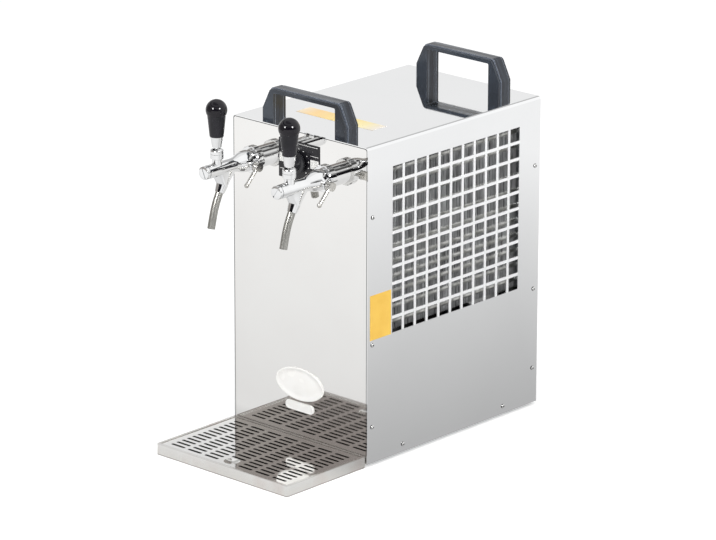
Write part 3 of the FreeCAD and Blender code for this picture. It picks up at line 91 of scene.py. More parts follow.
def new_group(name, inputs, outputs):
    """A shader node group with named sockets."""
    group = bpy.data.node_groups.new(name, "ShaderNodeTree")
    for title, kind, value in inputs:
        socket = group.interface.new_socket(title, in_out="INPUT", socket_type=kind)
        if value is not None:
            socket.default_value = value
    for title, kind in outputs:
        group.interface.new_socket(title, in_out="OUTPUT", socket_type=kind)
    return group, group.nodes.new("NodeGroupInput"), group.nodes.new("NodeGroupOutput")


def tone_group():
    """Cloudy change of tone between two colours, with its own change of gloss."""
    group, given, result = new_group(
        "cloudy tone",
        [("Vector", "NodeSocketVector", None), ("Size", "NodeSocketFloat", 30.0),
         ("Light", "NodeSocketColor", (1, 1, 1, 1)), ("Dark", "NodeSocketColor", (0, 0, 0, 1)),
         ("Smooth", "NodeSocketFloat", 0.3), ("Rough", "NodeSocketFloat", 0.4)],
        [("Color", "NodeSocketColor"), ("Roughness", "NodeSocketFloat"),
         ("Cloud", "NodeSocketFloat")])
    cloud = group.nodes.new("ShaderNodeTexNoise")
    cloud.inputs["Detail"].default_value = 4
    contrast = group.nodes.new("ShaderNodeMapRange")
    contrast.inputs["From Min"].default_value = 0.35
    contrast.inputs["From Max"].default_value = 0.65
    blend = group.nodes.new("ShaderNodeMix")
    blend.data_type = "RGBA"
    spread = group.nodes.new("ShaderNodeMapRange")
    link = group.links.new
    link(given.outputs["Vector"], cloud.inputs["Vector"])
    link(given.outputs["Size"], cloud.inputs["Scale"])
    link(cloud.outputs["Fac"], contrast.inputs["Value"])
    link(contrast.outputs["Result"], spread.inputs["Value"])
    link(given.outputs["Smooth"], spread.inputs["To Min"])
    link(given.outputs["Rough"], spread.inputs["To Max"])
    link(contrast.outputs["Result"], blend.inputs[0])
    link(given.outputs["Light"], blend.inputs[6])
    link(given.outputs["Dark"], blend.inputs[7])
    link(blend.outputs[2], result.inputs["Color"])
    link(spread.outputs["Result"], result.inputs["Roughness"])
    link(cloud.outputs["Fac"], result.inputs["Cloud"])
    return group


cloudy_tone = tone_group()


def cloud_over(finish, surface, size, light, dark, smooth, rough, stretch=(1, 1, 1)):
    """Soft changes of tone and gloss over a surface."""
    cloud = add_node(finish, "ShaderNodeGroup", node_tree=cloudy_tone)
    cloud.inputs["Size"].default_value = size
    cloud.inputs["Light"].default_value = (*light, 1)
    cloud.inputs["Dark"].default_value = (*dark, 1)
    cloud.inputs["Smooth"].default_value = smooth
    cloud.inputs["Rough"].default_value = rough
    wire(finish, place_on(finish, stretch), cloud.inputs["Vector"])
    wire(finish, cloud.outputs["Color"], surface.inputs["Base Color"])
    wire(finish, cloud.outputs["Roughness"], surface.inputs["Roughness"])
    return cloud


def bump(finish, surface, height, strength, distance):
    """Relief on a surface from a pattern's height."""
    relief = add_node(finish, "ShaderNodeBump", Strength=strength, Distance=distance)
    wire(finish, height, relief.inputs["Height"])
    wire(finish, relief.outputs["Normal"], surface.inputs["Normal"])


def grain_bump(finish, surface, fineness, strength):
    """The fine even skin of a moulded, cast or painted piece."""
    skin_deep = 0.2 * mm
    skin = add_node(finish, "ShaderNodeTexNoise", Scale=fineness)
    wire(finish, place_on(finish), skin.inputs["Vector"])
    bump(finish, surface, skin.outputs["Fac"], strength, skin_deep)


def toned(finish, share, stops):
    """A tone that runs through the given stops as a value goes from 0 to 1."""
    node = add_node(finish, "ShaderNodeValToRGB")
    held = node.color_ramp.elements
    for number, (place, tone) in enumerate(stops):
        stop = held[number] if number < 2 else held.new(place)
        stop.position = place
        stop.color = (*tone, 1)
    wire(finish, share, node.inputs["Fac"])
    return node.outputs["Color"]


zinc, surface = new_finish("zinc_coated_sheet", (0.5, 0.52, 0.54), 0.42, 0.9)
crystals = add_node(zinc, "ShaderNodeTexVoronoi", Scale=140.0)
wire(zinc, place_on(zinc), crystals.inputs["Vector"])
greys = toned(zinc, crystals.outputs["Color"],
              ((0.0, (0.40, 0.42, 0.44)), (1.0, (0.60, 0.62, 0.64))))
wire(zinc, greys, surface.inputs["Base Color"])
dress(zinc, "base_pan", "condenser_end_plates", "fan_shroud")

rubber, surface = new_finish("foot_rubber", (0.025, 0.025, 0.027), 0.75)
cloud_over(rubber, surface, 160, (0.03, 0.03, 0.032), (0.018, 0.018, 0.02), 0.65, 0.85)
grain_bump(rubber, surface, 1800, 0.3)
dress(rubber, "rubber_feet", "compressor_grommets")


# The wrap cover is one polished stainless sheet folded over the top. A faint grain runs
# from front to back, and wiping has left soft cloudy changes in its gloss.
def grain_group():
    """Fine drawn grain: long thin streaks as a height and as a change of gloss."""
    group, given, result = new_group(
        "drawn grain",
        [("Vector", "NodeSocketVector", None), ("Fineness", "NodeSocketFloat", 900.0),
         ("Smooth", "NodeSocketFloat", 0.2), ("Rough", "NodeSocketFloat", 0.3)],
        [("Height", "NodeSocketFloat"), ("Roughness", "NodeSocketFloat")])
    streaks = group.nodes.new("ShaderNodeTexNoise")
    streaks.inputs["Detail"].default_value = 3
    spread = group.nodes.new("ShaderNodeMapRange")
    link = group.links.new
    link(given.outputs["Vector"], streaks.inputs["Vector"])
    link(given.outputs["Fineness"], streaks.inputs["Scale"])
    link(streaks.outputs["Fac"], spread.inputs["Value"])
    link(given.outputs["Smooth"], spread.inputs["To Min"])
    link(given.outputs["Rough"], spread.inputs["To Max"])
    link(streaks.outputs["Fac"], result.inputs["Height"])
    link(spread.outputs["Result"], result.inputs["Roughness"])
    return group


drawn_grain = grain_group()


def grain_over(finish, surface, stretch, fineness, smooth, rough, relief, light, dark):
    """Drawn sheet: grain in its gloss and relief, and a cloudy change of tone."""
    cloud_size = 7
    grain_deep = 0.1 * mm
    cloud = cloud_over(finish, surface, cloud_size, light, dark, smooth, rough)
    grain = add_node(finish, "ShaderNodeGroup", node_tree=drawn_grain)
    grain.inputs["Fineness"].default_value = fineness
    grain.inputs["Smooth"].default_value = smooth
    grain.inputs["Rough"].default_value = rough
    wire(finish, place_on(finish, stretch), grain.inputs["Vector"])
    wire(finish, grain.outputs["Roughness"], surface.inputs["Roughness"])
    bump(finish, surface, grain.outputs["Height"], relief, grain_deep)
    return cloud.outputs["Color"]


cover_light = (0.895, 0.90, 0.905)
cover_dark = (0.875, 0.88, 0.885)
cover_steel, surface = new_finish("polished_cover_sheet", cover_light, 0.06, 1.0)
grain_over(cover_steel, surface, (1, 0.02, 1), 1400, 0.01, 0.06, 0.015, cover_light, cover_dark)
dress(cover_steel, "wrap_cover")


# The right side is punched with 11 by 10 square windows. The punch has drawn the bars
# between them a little round, so they scatter more light and look brighter.
def position_on(finish):
    """The X, Y and Z of the point on the piece, one socket each."""
    split = add_node(finish, "ShaderNodeSeparateXYZ")
    wire(finish, place_on(finish), split.inputs["Vector"])
    return split.outputs


def maths(finish, operation, first, second=None):
    """One sum on a value and a number or a second value."""
    node = add_node(finish, "ShaderNodeMath", operation=operation)
    wire(finish, first, node.inputs[0])
    if isinstance(second, bpy.types.NodeSocket):
        wire(finish, second, node.inputs[1])
    elif second is not None:
        node.inputs[1].default_value = second
    return node.outputs[0]


def between(finish, value, low, high):
    """1 where a value lies between two numbers, and 0 elsewhere."""
    return maths(finish, "MULTIPLY", maths(finish, "GREATER_THAN", value, low),
                 maths(finish, "LESS_THAN", value, high))


lowest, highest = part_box("wrap_cover")
side_x = highest[0]
cabinet_front = lowest[1]
cabinet_rear = highest[1]
columns = 11
rows = 10
window = 17.3 * mm
bar_upright = 4 * mm
bar_level = 3.8 * mm
grille_front = cabinet_front + 43.8 * mm
grille_rear = grille_front + columns * window + (columns - 1) * bar_upright
grille_low = 160 * mm
grille_high = grille_low + rows * window + (rows - 1) * bar_level
scatter = 0.6
where = position_on(cover_steel)
field = maths(cover_steel, "MULTIPLY",
              between(cover_steel, where["Y"], grille_front, grille_rear),
              between(cover_steel, where["Z"], grille_low, grille_high))
right_side = maths(cover_steel, "GREATER_THAN", where["X"], 0)
bars = maths(cover_steel, "MULTIPLY", field, right_side)
mirroring = maths(cover_steel, "ADD", maths(cover_steel, "MULTIPLY", bars, -scatter), 1.0)
wire(cover_steel, mirroring, surface.inputs["Metallic"])

# The front and rear panels are set into the cover's two mouths. The front one is polished
# like a mirror and picks up the tray and the taps.
mirror, surface = new_finish("mirror_front_panel", (0.90, 0.895, 0.875), 0.03, 1.0)
cloud_over(mirror, surface, 7, (0.905, 0.90, 0.885), (0.88, 0.87, 0.855), 0.02, 0.05)
dress(mirror, "front_panel")
brushed, surface = new_finish("satin_rear_panel", (0.74, 0.74, 0.74), 0.3, 1.0)
grain_over(brushed, surface, (0.02, 1, 1), 1400, 0.22, 0.36, 0.08,
           (0.80, 0.80, 0.80), (0.74, 0.74, 0.74))
dress(brushed, "rear_panel")


# The cover is screwed to the panels and to the base pan with pan-head steel screws. Each head is
# domed and polished. Its cross recess has four lobes. The recess and the foot of the dome are
# painted near black, a painted shade.
def turned(work, profile, steps):
    """Spin a half profile of (radius, height) points about the Z axis and close it."""
    points = [work.verts.new((radius, 0, height)) for radius, height in profile]
    edges = [work.edges.new(pair) for pair in zip(points, points[1:])]
    bmesh.ops.spin(work, geom=points + edges, cent=(0, 0, 0), axis=(0, 0, 1),
                   angle=math.tau, steps=steps, use_merge=True)
    bmesh.ops.remove_doubles(work, verts=work.verts, dist=1e-6)
    bmesh.ops.recalc_face_normals(work, faces=work.faces)


def finished_piece(name, work, finish, body, smooth=True):
    """Turn a bmesh into a piece that rides on a body."""
    mesh = bpy.data.meshes.new(name)
    work.to_mesh(mesh)
    work.free()
    mesh.materials.append(finish)
    if smooth:
        mesh.shade_smooth()
    piece = bpy.data.objects.new(name, mesh)
    bpy.context.scene.collection.objects.link(piece)
    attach(piece, body)
    return piece


screw_steel, surface = new_finish("screw_steel", (0.78, 0.78, 0.77), 0.12, 1.0)
cloud_over(screw_steel, surface, 300, (0.80, 0.80, 0.79), (0.68, 0.68, 0.67), 0.08, 0.2)
dress(screw_steel, "handle_screws")
# Near-black finish: painted shade in each screw's recess and at the foot of its dome.
recess_and_foot_painted_shade, surface = new_finish("screw_recess_and_foot_painted_shade", (0.02, 0.02, 0.02), 0.8)
cloud_over(recess_and_foot_painted_shade, surface, 500, (0.03, 0.03, 0.03), (0.012, 0.012, 0.012), 0.7, 0.9)
head_radius = 2.75 * mm
head_high = 1.8 * mm
dome_step = math.pi / 14
dome_points = 6
shank_radius = 1.6 * mm
shank_in = 5 * mm
recess_radius = 1.15 * mm
recess_deep = 1.0 * mm
lobe_depth = 0.38
screw_turn = 0.7
margin = 8.8 * mm
side_levels = (49.5 * mm, 153 * mm, 311.5 * mm)
low_inset = 64 * mm
low_level = 13.4 * mm
screw_places = [(y, z) for y in (cabinet_front + margin, cabinet_rear - margin)
                for z in side_levels]
screw_places += [(y, low_level) for y in (cabinet_front + low_inset, cabinet_rear - low_inset)]


def screw_head(work):
    """One domed head on its shank, standing on the plane z = 0, with painted shade at its foot
    and in its recess.
    """
    dome = [(head_radius * math.cos(step * dome_step), head_high * math.sin(step * dome_step))
            for step in range(dome_points)]
    profile = [(0, -shank_in), (shank_radius, -shank_in), (shank_radius, 0), *dome,
               (recess_radius, head_high * 0.97),
               (recess_radius * 0.8, head_high - recess_deep * 0.5), (0, head_high - recess_deep)]
    turned(work, profile, 24)
    for vert in work.verts:
        reach = math.hypot(vert.co.x, vert.co.y)
        if vert.co.z > head_high * 0.4 and 0.5 * recess_radius < reach < 1.05 * recess_radius:
            around = math.atan2(vert.co.y, vert.co.x)
            lobe = 1 - lobe_depth * (1 - math.cos(4 * around)) / 2
            vert.co.x *= lobe
            vert.co.y *= lobe
    # Painted shade: the faces at the foot of the dome and inside the recess take the near-black
    # second finish.
    for face in work.faces:
        middle = face.calc_center_median()
        at_foot = -0.1 * mm < middle.z < head_high * 0.42
        in_recess = middle.z > 0 and math.hypot(middle.x, middle.y) < 0.9 * recess_radius
        if at_foot or in_recess:
            face.material_index = 1


for word, way in (("right", 1), ("left", -1)):
    work = bmesh.new()
    for number, (y, z) in enumerate(screw_places):
        one = bmesh.new()
        screw_head(one)
        spin_by = Matrix.Rotation(screw_turn * number, 4, "Z")
        point_out = Matrix.Rotation(way * math.pi / 2, 4, "Y")
        place = Matrix.Translation((way * side_x, y, z)) @ point_out @ spin_by
        bmesh.ops.transform(one, matrix=place, verts=one.verts)
        scratch = bpy.data.meshes.new("scratch")
        one.to_mesh(scratch)
        one.free()
        work.from_mesh(scratch)
        bpy.data.meshes.remove(scratch)
    screws = finished_piece(f"domed_screws_{word}", work, screw_steel, "cabinet")
    screws.data.materials.append(recess_and_foot_painted_shade)
    screws.data.set_sharp_from_angle(angle=math.radians(40))
    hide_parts(f"side_screws_{word}")


# The bridge handles are moulded in dark grey plastic with a fine even skin. Two thin lines along
# the raised band of the outer face are painted lighter, a painted highlight on its ridges.
ridge_off = 7 * mm
ridge_wide = 1 * mm


def mixed(finish, share, first, second, way="MIX"):
    """A tone between two tones. Each value is a socket or a plain number or colour."""
    node = add_node(finish, "ShaderNodeMix", data_type="RGBA", blend_type=way)
    for number, value in ((0, share), (6, first), (7, second)):
        if isinstance(value, bpy.types.NodeSocket):
            wire(finish, value, node.inputs[number])
        else:
            node.inputs[number].default_value = value
    return node.outputs[2]


def handle_finish(name, middle):
    """Moulded grey plastic whose ridges, either side of the middle, carry a painted highlight."""
    finish, surface = new_finish(name, (0.022, 0.027, 0.036), 0.26)
    cloud = cloud_over(finish, surface, 160, (0.040, 0.050, 0.066), (0.007, 0.009, 0.015),
                       0.16, 0.32, (0.06, 1, 0.06))
    aside = maths(finish, "SUBTRACT", position_on(finish)["Y"], middle)
    ridges = between(finish, maths(finish, "ABSOLUTE", aside),
                     ridge_off - ridge_wide / 2, ridge_off + ridge_wide / 2)
    # Painted highlight: a thin lighter line either side of the middle stands in for light caught
    # on the ridges.
    painted_ridge_highlight = mixed(finish, ridges, cloud.outputs["Color"], (0.17, 0.19, 0.23, 1))
    wire(finish, painted_ridge_highlight, surface.inputs["Base Color"])
    grain_bump(finish, surface, 2600, 0.1)
    return finish


for word in ("front", "rear"):
    lowest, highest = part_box(f"{word}_handle")
    dress(handle_finish(f"{word}_handle_plastic", (lowest[1] + highest[1]) / 2), f"{word}_handle")

# The control plate is printed black plastic. White dots stand in a ring round the dial,
# with thin lines and two blank fields beside it, all a hair proud of the plate.
black_print, surface = new_finish("control_plate_black", (0.014, 0.013, 0.016), 0.3)
cloud_over(black_print, surface, 80, (0.015, 0.014, 0.018), (0.010, 0.010, 0.013), 0.22, 0.36)
dress(black_print, "control_plate")
white_ink, surface = new_finish("white_ink", (0.80, 0.80, 0.78), 0.5)
cloud_over(white_ink, surface, 700, (0.82, 0.82, 0.80), (0.72, 0.72, 0.70), 0.45, 0.6)
lowest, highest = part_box("control_plate")
plate_face = lowest[1]
plate_side = highest[0]
dial_level = 360 * mm
ink_thick = 0.08 * mm
dot_ring = 16 * mm
dot_wide = 1.5 * mm
dot_gap = math.radians(27)
line_high = 0.6 * mm
line_long = 13 * mm
line_inset = 8 * mm
field_off = 25.2 * mm


def printed_patch(work, x, z, wide, high, sides=4):
    """A flat patch of ink on the plate: a rectangle, or a round dot with many sides."""
    place = Matrix.Translation((x, plate_face - ink_thick / 2, z))
    shape = Matrix.Diagonal((wide, ink_thick, high, 1))
    if sides == 4:
        made = bmesh.ops.create_cube(work, size=1)["verts"]
    else:
        made = bmesh.ops.create_cone(work, cap_ends=True, segments=sides, radius1=0.5,
                                     radius2=0.5, depth=1)["verts"]
        shape = shape @ Matrix.Rotation(math.pi / 2, 4, "X")
    bmesh.ops.transform(work, matrix=place @ shape, verts=made)


work = bmesh.new()
for step in range(-5, 6):
    angle = dot_gap * step
    printed_patch(work, dot_ring * math.sin(angle), dial_level + dot_ring * math.cos(angle),
                  dot_wide, dot_wide, 16)
printed_patch(work, 0, highest[2] - 2.4 * mm, 2 * plate_side - 5 * mm, line_high)
printed_patch(work, plate_side - line_inset, dial_level + 11 * mm, line_long, line_high)
printed_patch(work, line_inset - plate_side, dial_level - 13 * mm, line_long, line_high)
for way in (-1, 1):
    printed_patch(work, way * field_off, dial_level + 1 * mm, 13.5 * mm, 11 * mm)
finished_piece("plate_print", work, white_ink, "cabinet", smooth=False)

# The badge is an oval plate with a raised rim round a gently domed field, and under it
# sits a small round-ended plate. Both are bare white enamel.
enamel, surface = new_finish("bare_badge", (0.92, 0.915, 0.89), 0.25)
cloud_over(enamel, surface, 40, (0.94, 0.935, 0.915), (0.90, 0.89, 0.865), 0.18, 0.28)
surface.inputs["Coat Weight"].default_value = 0.3
surface.inputs["Coat Roughness"].default_value = 0.08
outline_steps = 98
crown_steps = 4
crown_share = 0.78


def extruded(work, faces):
    """Extrude faces. Gives the new faces and their points."""
    made = bmesh.ops.extrude_face_region(work, geom=faces)["geom"]
    return ([item for item in made if isinstance(item, bmesh.types.BMFace)],
            [item for item in made if isinstance(item, bmesh.types.BMVert)])


def enamel_plate(name, node, straight, rim):
    """A plate with rounded ends, a straight middle, a raised rim and a domed field."""
    lowest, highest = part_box(node)
    wide, thick, high = (top - low for low, top in zip(lowest, highest))
    work = bmesh.new()
    bmesh.ops.create_circle(work, cap_ends=True, segments=outline_steps, radius=0.5)
    bmesh.ops.rotate(work, verts=work.verts, cent=(0, 0, 0),
                     matrix=Matrix.Rotation(math.pi / outline_steps, 3, "Z"))
    bmesh.ops.scale(work, vec=(wide - straight, high, 1), verts=work.verts)
    for vert in work.verts:
        vert.co.x += math.copysign(straight / 2, vert.co.x)
    top, raised = extruded(work, work.faces[:])
    bmesh.ops.translate(work, vec=(0, 0, thick), verts=raised)
    bmesh.ops.inset_region(work, faces=top, thickness=rim * 0.35, depth=0)
    inner = set(top[0].verts)
    outer = [vert for vert in work.verts if vert.co.z > thick / 2 and vert not in inner]
    bmesh.ops.translate(work, vec=(0, 0, -rim * 0.2), verts=outer)
    bmesh.ops.inset_region(work, faces=top, thickness=rim * 0.4, depth=0)
    bmesh.ops.inset_region(work, faces=top, thickness=rim * 0.3, depth=-rim * 0.3)
    for step in range(crown_steps):
        below, (top, crown) = top, extruded(work, top)
        bmesh.ops.delete(work, geom=[face for face in below if face.is_valid],
                         context="FACES_ONLY")
        bmesh.ops.scale(work, vec=(crown_share, crown_share, 1), verts=crown)
        bmesh.ops.translate(work, vec=(0, 0, rim * 0.05), verts=crown)
    bmesh.ops.recalc_face_normals(work, faces=work.faces)
    stand = Matrix.Translation((0, highest[1], (lowest[2] + highest[2]) / 2))
    bmesh.ops.transform(work, matrix=stand @ Matrix.Rotation(math.pi / 2, 4, "X"),
                        verts=work.verts)
    piece = finished_piece(name, work, enamel, "cabinet")
    piece.data.set_sharp_from_angle(angle=math.radians(50))
    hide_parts(node)


enamel_plate("oval_plate", "oval_badge", 0, 2.4 * mm)
enamel_plate("small_plate", "small_badge", 35 * mm, 1.2 * mm)

# The stickers on the side and on the top are plain yellow foil, a little uneven where
# they were pressed down. The one on the top has faded, most of all along its edges.
foil, surface = new_finish("yellow_foil", (0.85, 0.54, 0.09), 0.38)
creases = cloud_over(foil, surface, 45, (0.87, 0.55, 0.085), (0.82, 0.49, 0.065), 0.32, 0.46)
bump(foil, surface, creases.outputs["Cloud"], 0.25, 0.6 * mm)
dress(foil, "side_sticker")


def ramp(finish, value, from_low, from_high, to_low=0.0, to_high=1.0):
    """Carry a value from one range to another, held at the ends."""
    node = add_node(finish, "ShaderNodeMapRange")
    wire(finish, value, node.inputs["Value"])
    for title, number in (("From Min", from_low), ("From Max", from_high),
                          ("To Min", to_low), ("To Max", to_high)):
        node.inputs[title].default_value = number
    return node.outputs["Result"]


sun_foil, surface = new_finish("faded_foil", (0.94, 0.80, 0.45), 0.32)
creases = cloud_over(sun_foil, surface, 45, (0.95, 0.68, 0.33), (0.92, 0.62, 0.27), 0.26, 0.40)
lowest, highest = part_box("top_sticker")
across = ramp(sun_foil, position_on(sun_foil)["X"], lowest[0], highest[0])
faded = toned(sun_foil, across, (
    (0.0, (0.88, 0.76, 0.58)), (0.18, (0.91, 0.62, 0.25)), (0.6, (0.91, 0.75, 0.26)),
    (0.82, (0.88, 0.80, 0.42)), (1.0, (0.82, 0.81, 0.78))))
uneven = mixed(sun_foil, 0.2, faded, creases.outputs["Color"])
wire(sun_foil, uneven, surface.inputs["Base Color"])
dress(sun_foil, "top_sticker")

# The taps are brass castings, turned, polished and chromed. Polishing by hand leaves soft
# waves under the plate, and its gloss changes a little from place to place.
chrome, surface = new_finish("tap_chrome", (0.86, 0.865, 0.87), 0.04, 1.0)
waves = cloud_over(chrome, surface, 60, (0.88, 0.885, 0.89), (0.82, 0.825, 0.83), 0.015, 0.06)
bump(chrome, surface, waves.outputs["Cloud"], 0.06, 1 * mm)
tap_parts = ("tap_shank", "coupling_nut", "tap_body", "tap_lever")
dress(chrome, "shank_nuts")
for word in ("left", "right"):
    dress(chrome, *[f"{part}_{word}" for part in tap_parts])

# Each barrel is closed by a flat chromed cap with a bevelled rim and one straight slot for
# a coin. A narrow neck leaves a dark line between the cap and the barrel.
slot_wide = 1.5 * mm
slot_deep = 1.1 * mm
cap_bevel = 0.9 * mm
neck_long = 0.9 * mm
neck_in = 0.8 * mm
neck_cone = 0.2 * mm
slot_turns = {"left": 24, "right": -35}
for word, slot_turn in slot_turns.items():
    lowest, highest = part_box(f"front_cap_{word}")
    middle_x = (lowest[0] + highest[0]) / 2
    middle_z = (lowest[2] + highest[2]) / 2
    cap_wide = (highest[0] - lowest[0]) / 2
    cap_deep = highest[1] - lowest[1]
    rings = [(0, cap_deep), (cap_wide * 0.5, cap_deep), (cap_wide - cap_bevel, cap_deep),
             (cap_wide - cap_bevel * 0.3, cap_deep - cap_bevel * 0.25),
             (cap_wide, cap_deep - cap_bevel), (cap_wide, neck_long),
             (cap_wide - neck_in, neck_long - neck_cone), (cap_wide - neck_in, 0), (0, 0)]
    work = bmesh.new()
    turned(work, rings, 64)
    for side in (-1, 1):
        everything = work.verts[:] + work.edges[:] + work.faces[:]
        bmesh.ops.bisect_plane(work, geom=everything, dist=1e-7,
                               plane_co=(side * slot_wide / 2, 0, 0), plane_no=(1, 0, 0))
    bottom = [face for face in work.faces
              if abs(face.calc_center_median().x) < slot_wide / 2 and face.normal.z > 0.99
              and face.calc_center_median().z > cap_deep - 0.01 * mm]
    sunk = extruded(work, bottom)[1]
    bmesh.ops.translate(work, vec=(0, 0, -slot_deep), verts=sunk)
    bmesh.ops.delete(work, geom=[face for face in bottom if face.is_valid],
                     context="FACES_ONLY")
    bmesh.ops.recalc_face_normals(work, faces=work.faces)
    slot_lie = Matrix.Rotation(math.radians(slot_turn), 4, "Z")
    facing = Matrix.Rotation(math.pi / 2, 4, "X") @ slot_lie
    place = Matrix.Translation((middle_x, highest[1], middle_z)) @ facing
    bmesh.ops.transform(work, matrix=place, verts=work.verts)
    cap = finished_piece(f"slotted_cap_{word}", work, chrome, "cabinet")
    cap.data.set_sharp_from_angle(angle=math.radians(35))
    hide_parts(f"front_cap_{word}")

# The spouts are steel tubes, drawn and bent. They have a dull polish, with soft lengthwise
# streaks from the drawing.
spout_steel, surface = new_finish("spout_steel", (0.72, 0.71, 0.68), 0.3, 1.0)
cloud_over(spout_steel, surface, 400, (0.42, 0.415, 0.39), (0.32, 0.315, 0.295), 0.34, 0.42,
           (1, 1, 0.08))
dress(spout_steel, "spout_left", "spout_right")

# The flow levers are small castings with the same plate. It is softer on them, and a little
# darker than on the barrels.
lever_chrome, surface = new_finish("lever_chrome", (0.66, 0.65, 0.62), 0.25, 1.0)
cloud_over(lever_chrome, surface, 240, (0.70, 0.69, 0.66), (0.52, 0.505, 0.475), 0.20, 0.30)
dress(lever_chrome, "flow_lever_left", "flow_lever_right")

# The tap handles are turned from black moulding: a satin cone under a ball that is
# polished to a deep gloss.
cone_top = 19.4 * mm
ball_foot = 18.6 * mm
lowest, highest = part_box("tap_knob_left")
moulding, surface = new_finish("tap_handle_moulding", (0.02, 0.02, 0.023), 0.3)
surface.inputs["Specular IOR Level"].default_value = 0.36
cloud = cloud_over(moulding, surface, 90, (0.013, 0.012, 0.017), (0.006, 0.006, 0.009),
                   0.24, 0.36)
ball = ramp(moulding, position_on(moulding)["Z"], highest[2] - cone_top, highest[2] - ball_foot)
tone = mixed(moulding, ball, cloud.outputs["Color"], (0.007, 0.006, 0.009, 1))
wire(moulding, tone, surface.inputs["Base Color"])
polish = add_node(moulding, "ShaderNodeMix")
polish.inputs[3].default_value = 0.07
wire(moulding, ball, polish.inputs[0])
wire(moulding, cloud.outputs["Roughness"], polish.inputs[2])
wire(moulding, polish.outputs[0], surface.inputs["Roughness"])
dress(moulding, "tap_knob_left", "tap_knob_right")

# The thermostat's dial is a black knob with a skirt. A white line across its face points
# at the dots on the plate.
dial_black, surface = new_finish("dial_moulding", (0.018, 0.018, 0.021), 0.28)
cloud_over(dial_black, surface, 120, (0.022, 0.022, 0.026), (0.015, 0.015, 0.018), 0.10, 0.20)
grain_bump(dial_black, surface, 2200, 0.08)
dress(dial_black, "thermostat", "thermostat_knob")
lowest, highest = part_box("thermostat_knob")
dial_face = lowest[1]
pointer_wide = 1.2 * mm
pointer_thick = 0.3 * mm
pointer_long = 6 * mm
pointer_off = 3.6 * mm
work = bmesh.new()
made = bmesh.ops.create_cube(work, size=1)["verts"]
bmesh.ops.scale(work, vec=(pointer_wide, pointer_thick, pointer_long), verts=made)
bmesh.ops.bevel(work, geom=work.edges[:], offset=0.1 * mm, segments=2, affect="EDGES",
                profile=0.5, material=-1)
bmesh.ops.translate(work, vec=(0, dial_face, dial_level + pointer_off), verts=work.verts)
finished_piece("dial_pointer", work, white_ink, "thermostat_dial", smooth=False)

# The drip tray is folded from sheet steel. Its faces are satin, with upright streaks from
# grinding and the faint stains that dried drops leave. Its faces are painted darker towards the
# floor, a painted shade, and carry a thin painted dark line just below the top edge.
tray_steel, surface = new_finish("tray_sheet", (0.84, 0.835, 0.82), 0.2, 1.0)
drawn = grain_over(tray_steel, surface, (1, 1, 0.05), 700, 0.14, 0.30, 0.10,
                   (0.87, 0.865, 0.85), (0.80, 0.785, 0.76))
lowest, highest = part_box("drip_tray")
height = ramp(tray_steel, position_on(tray_steel)["Z"], lowest[2], highest[2])
# Painted shade: the faces darken over the bottom tenth towards the floor, and a thin darker line
# is painted just below the top edge.
edges = toned(tray_steel, height, (
    (0.0, (0.30, 0.29, 0.28)), (0.05, (0.55, 0.53, 0.51)), (0.10, (0.96, 0.95, 0.93)),
    (0.92, (1, 1, 1)), (0.96, (0.80, 0.79, 0.78)), (0.985, (1, 1, 1))))
shaded_at_edges = mixed(tray_steel, 1, drawn, edges, "MULTIPLY")
drops = add_node(tray_steel, "ShaderNodeTexNoise", Scale=22.0, Detail=3.0)
wire(tray_steel, place_on(tray_steel, (1, 1, 0.6)), drops.inputs["Vector"])
dried = ramp(tray_steel, drops.outputs["Fac"], 0.54, 0.72, 0.0, 0.45)
stained = mixed(tray_steel, dried, shaded_at_edges, (0.72, 0.62, 0.58, 1))
wire(tray_steel, stained, surface.inputs["Base Color"])
dress(tray_steel, "drip_tray")

# The loose grid is a punched sheet, polished bright, which shows the panel behind it. The walls
# of its slots are painted near black, a painted shade. A shallow dished insert fills the finger
# hole.
grid_steel, surface = new_finish("grid_sheet", (0.86, 0.855, 0.84), 0.06, 1.0)
drawn = grain_over(grid_steel, surface, (0.04, 1, 1), 1100, 0.03, 0.10, 0.02,
                   (0.975, 0.97, 0.96), (0.93, 0.92, 0.90))
lowest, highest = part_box("drip_grid")
grid_top = highest[2]
border = 1.5 * mm
where = position_on(grid_steel)
inside = maths(grid_steel, "MULTIPLY",
               between(grid_steel, where["X"], lowest[0] + border, highest[0] - border),
               between(grid_steel, where["Y"], lowest[1] + border, highest[1] - border))
# Painted shade: inside the border, every face below the top of the sheet, the slot walls among
# them, is painted near black.
below_top = maths(grid_steel, "LESS_THAN", where["Z"], grid_top - 0.05 * mm)
punched = maths(grid_steel, "MULTIPLY", below_top, inside)
painted_slot_shade = mixed(grid_steel, punched, drawn, (0.025, 0.025, 0.025, 1))
wire(grid_steel, painted_slot_shade, surface.inputs["Base Color"])
dress(grid_steel, "drip_grid")
dish_steel, surface = new_finish("finger_dish_steel", (0.86, 0.855, 0.84), 0.08, 1.0)
cloud_over(dish_steel, surface, 120, (0.88, 0.875, 0.86), (0.80, 0.79, 0.77), 0.05, 0.14)
dish_radius = 10 * mm
dish_deep = 2.6 * mm
dish_thick = 0.5 * mm
dish_sunk = 0.1 * mm
dish_at = lowest[1] + 15.5 * mm
shares = [step / 8 for step in range(9)]
bowl = [(dish_radius * share, dish_deep * (share * share - 1)) for share in shares]
under = [(radius, height - dish_thick) for radius, height in reversed(bowl)]
work = bmesh.new()
turned(work, bowl + under, 48)
bmesh.ops.translate(work, vec=(0, dish_at, grid_top - dish_sunk), verts=work.verts)
finger_dish = finished_piece("finger_dish", work, dish_steel, "grid")
finger_dish.data.set_sharp_from_angle(angle=math.radians(50))

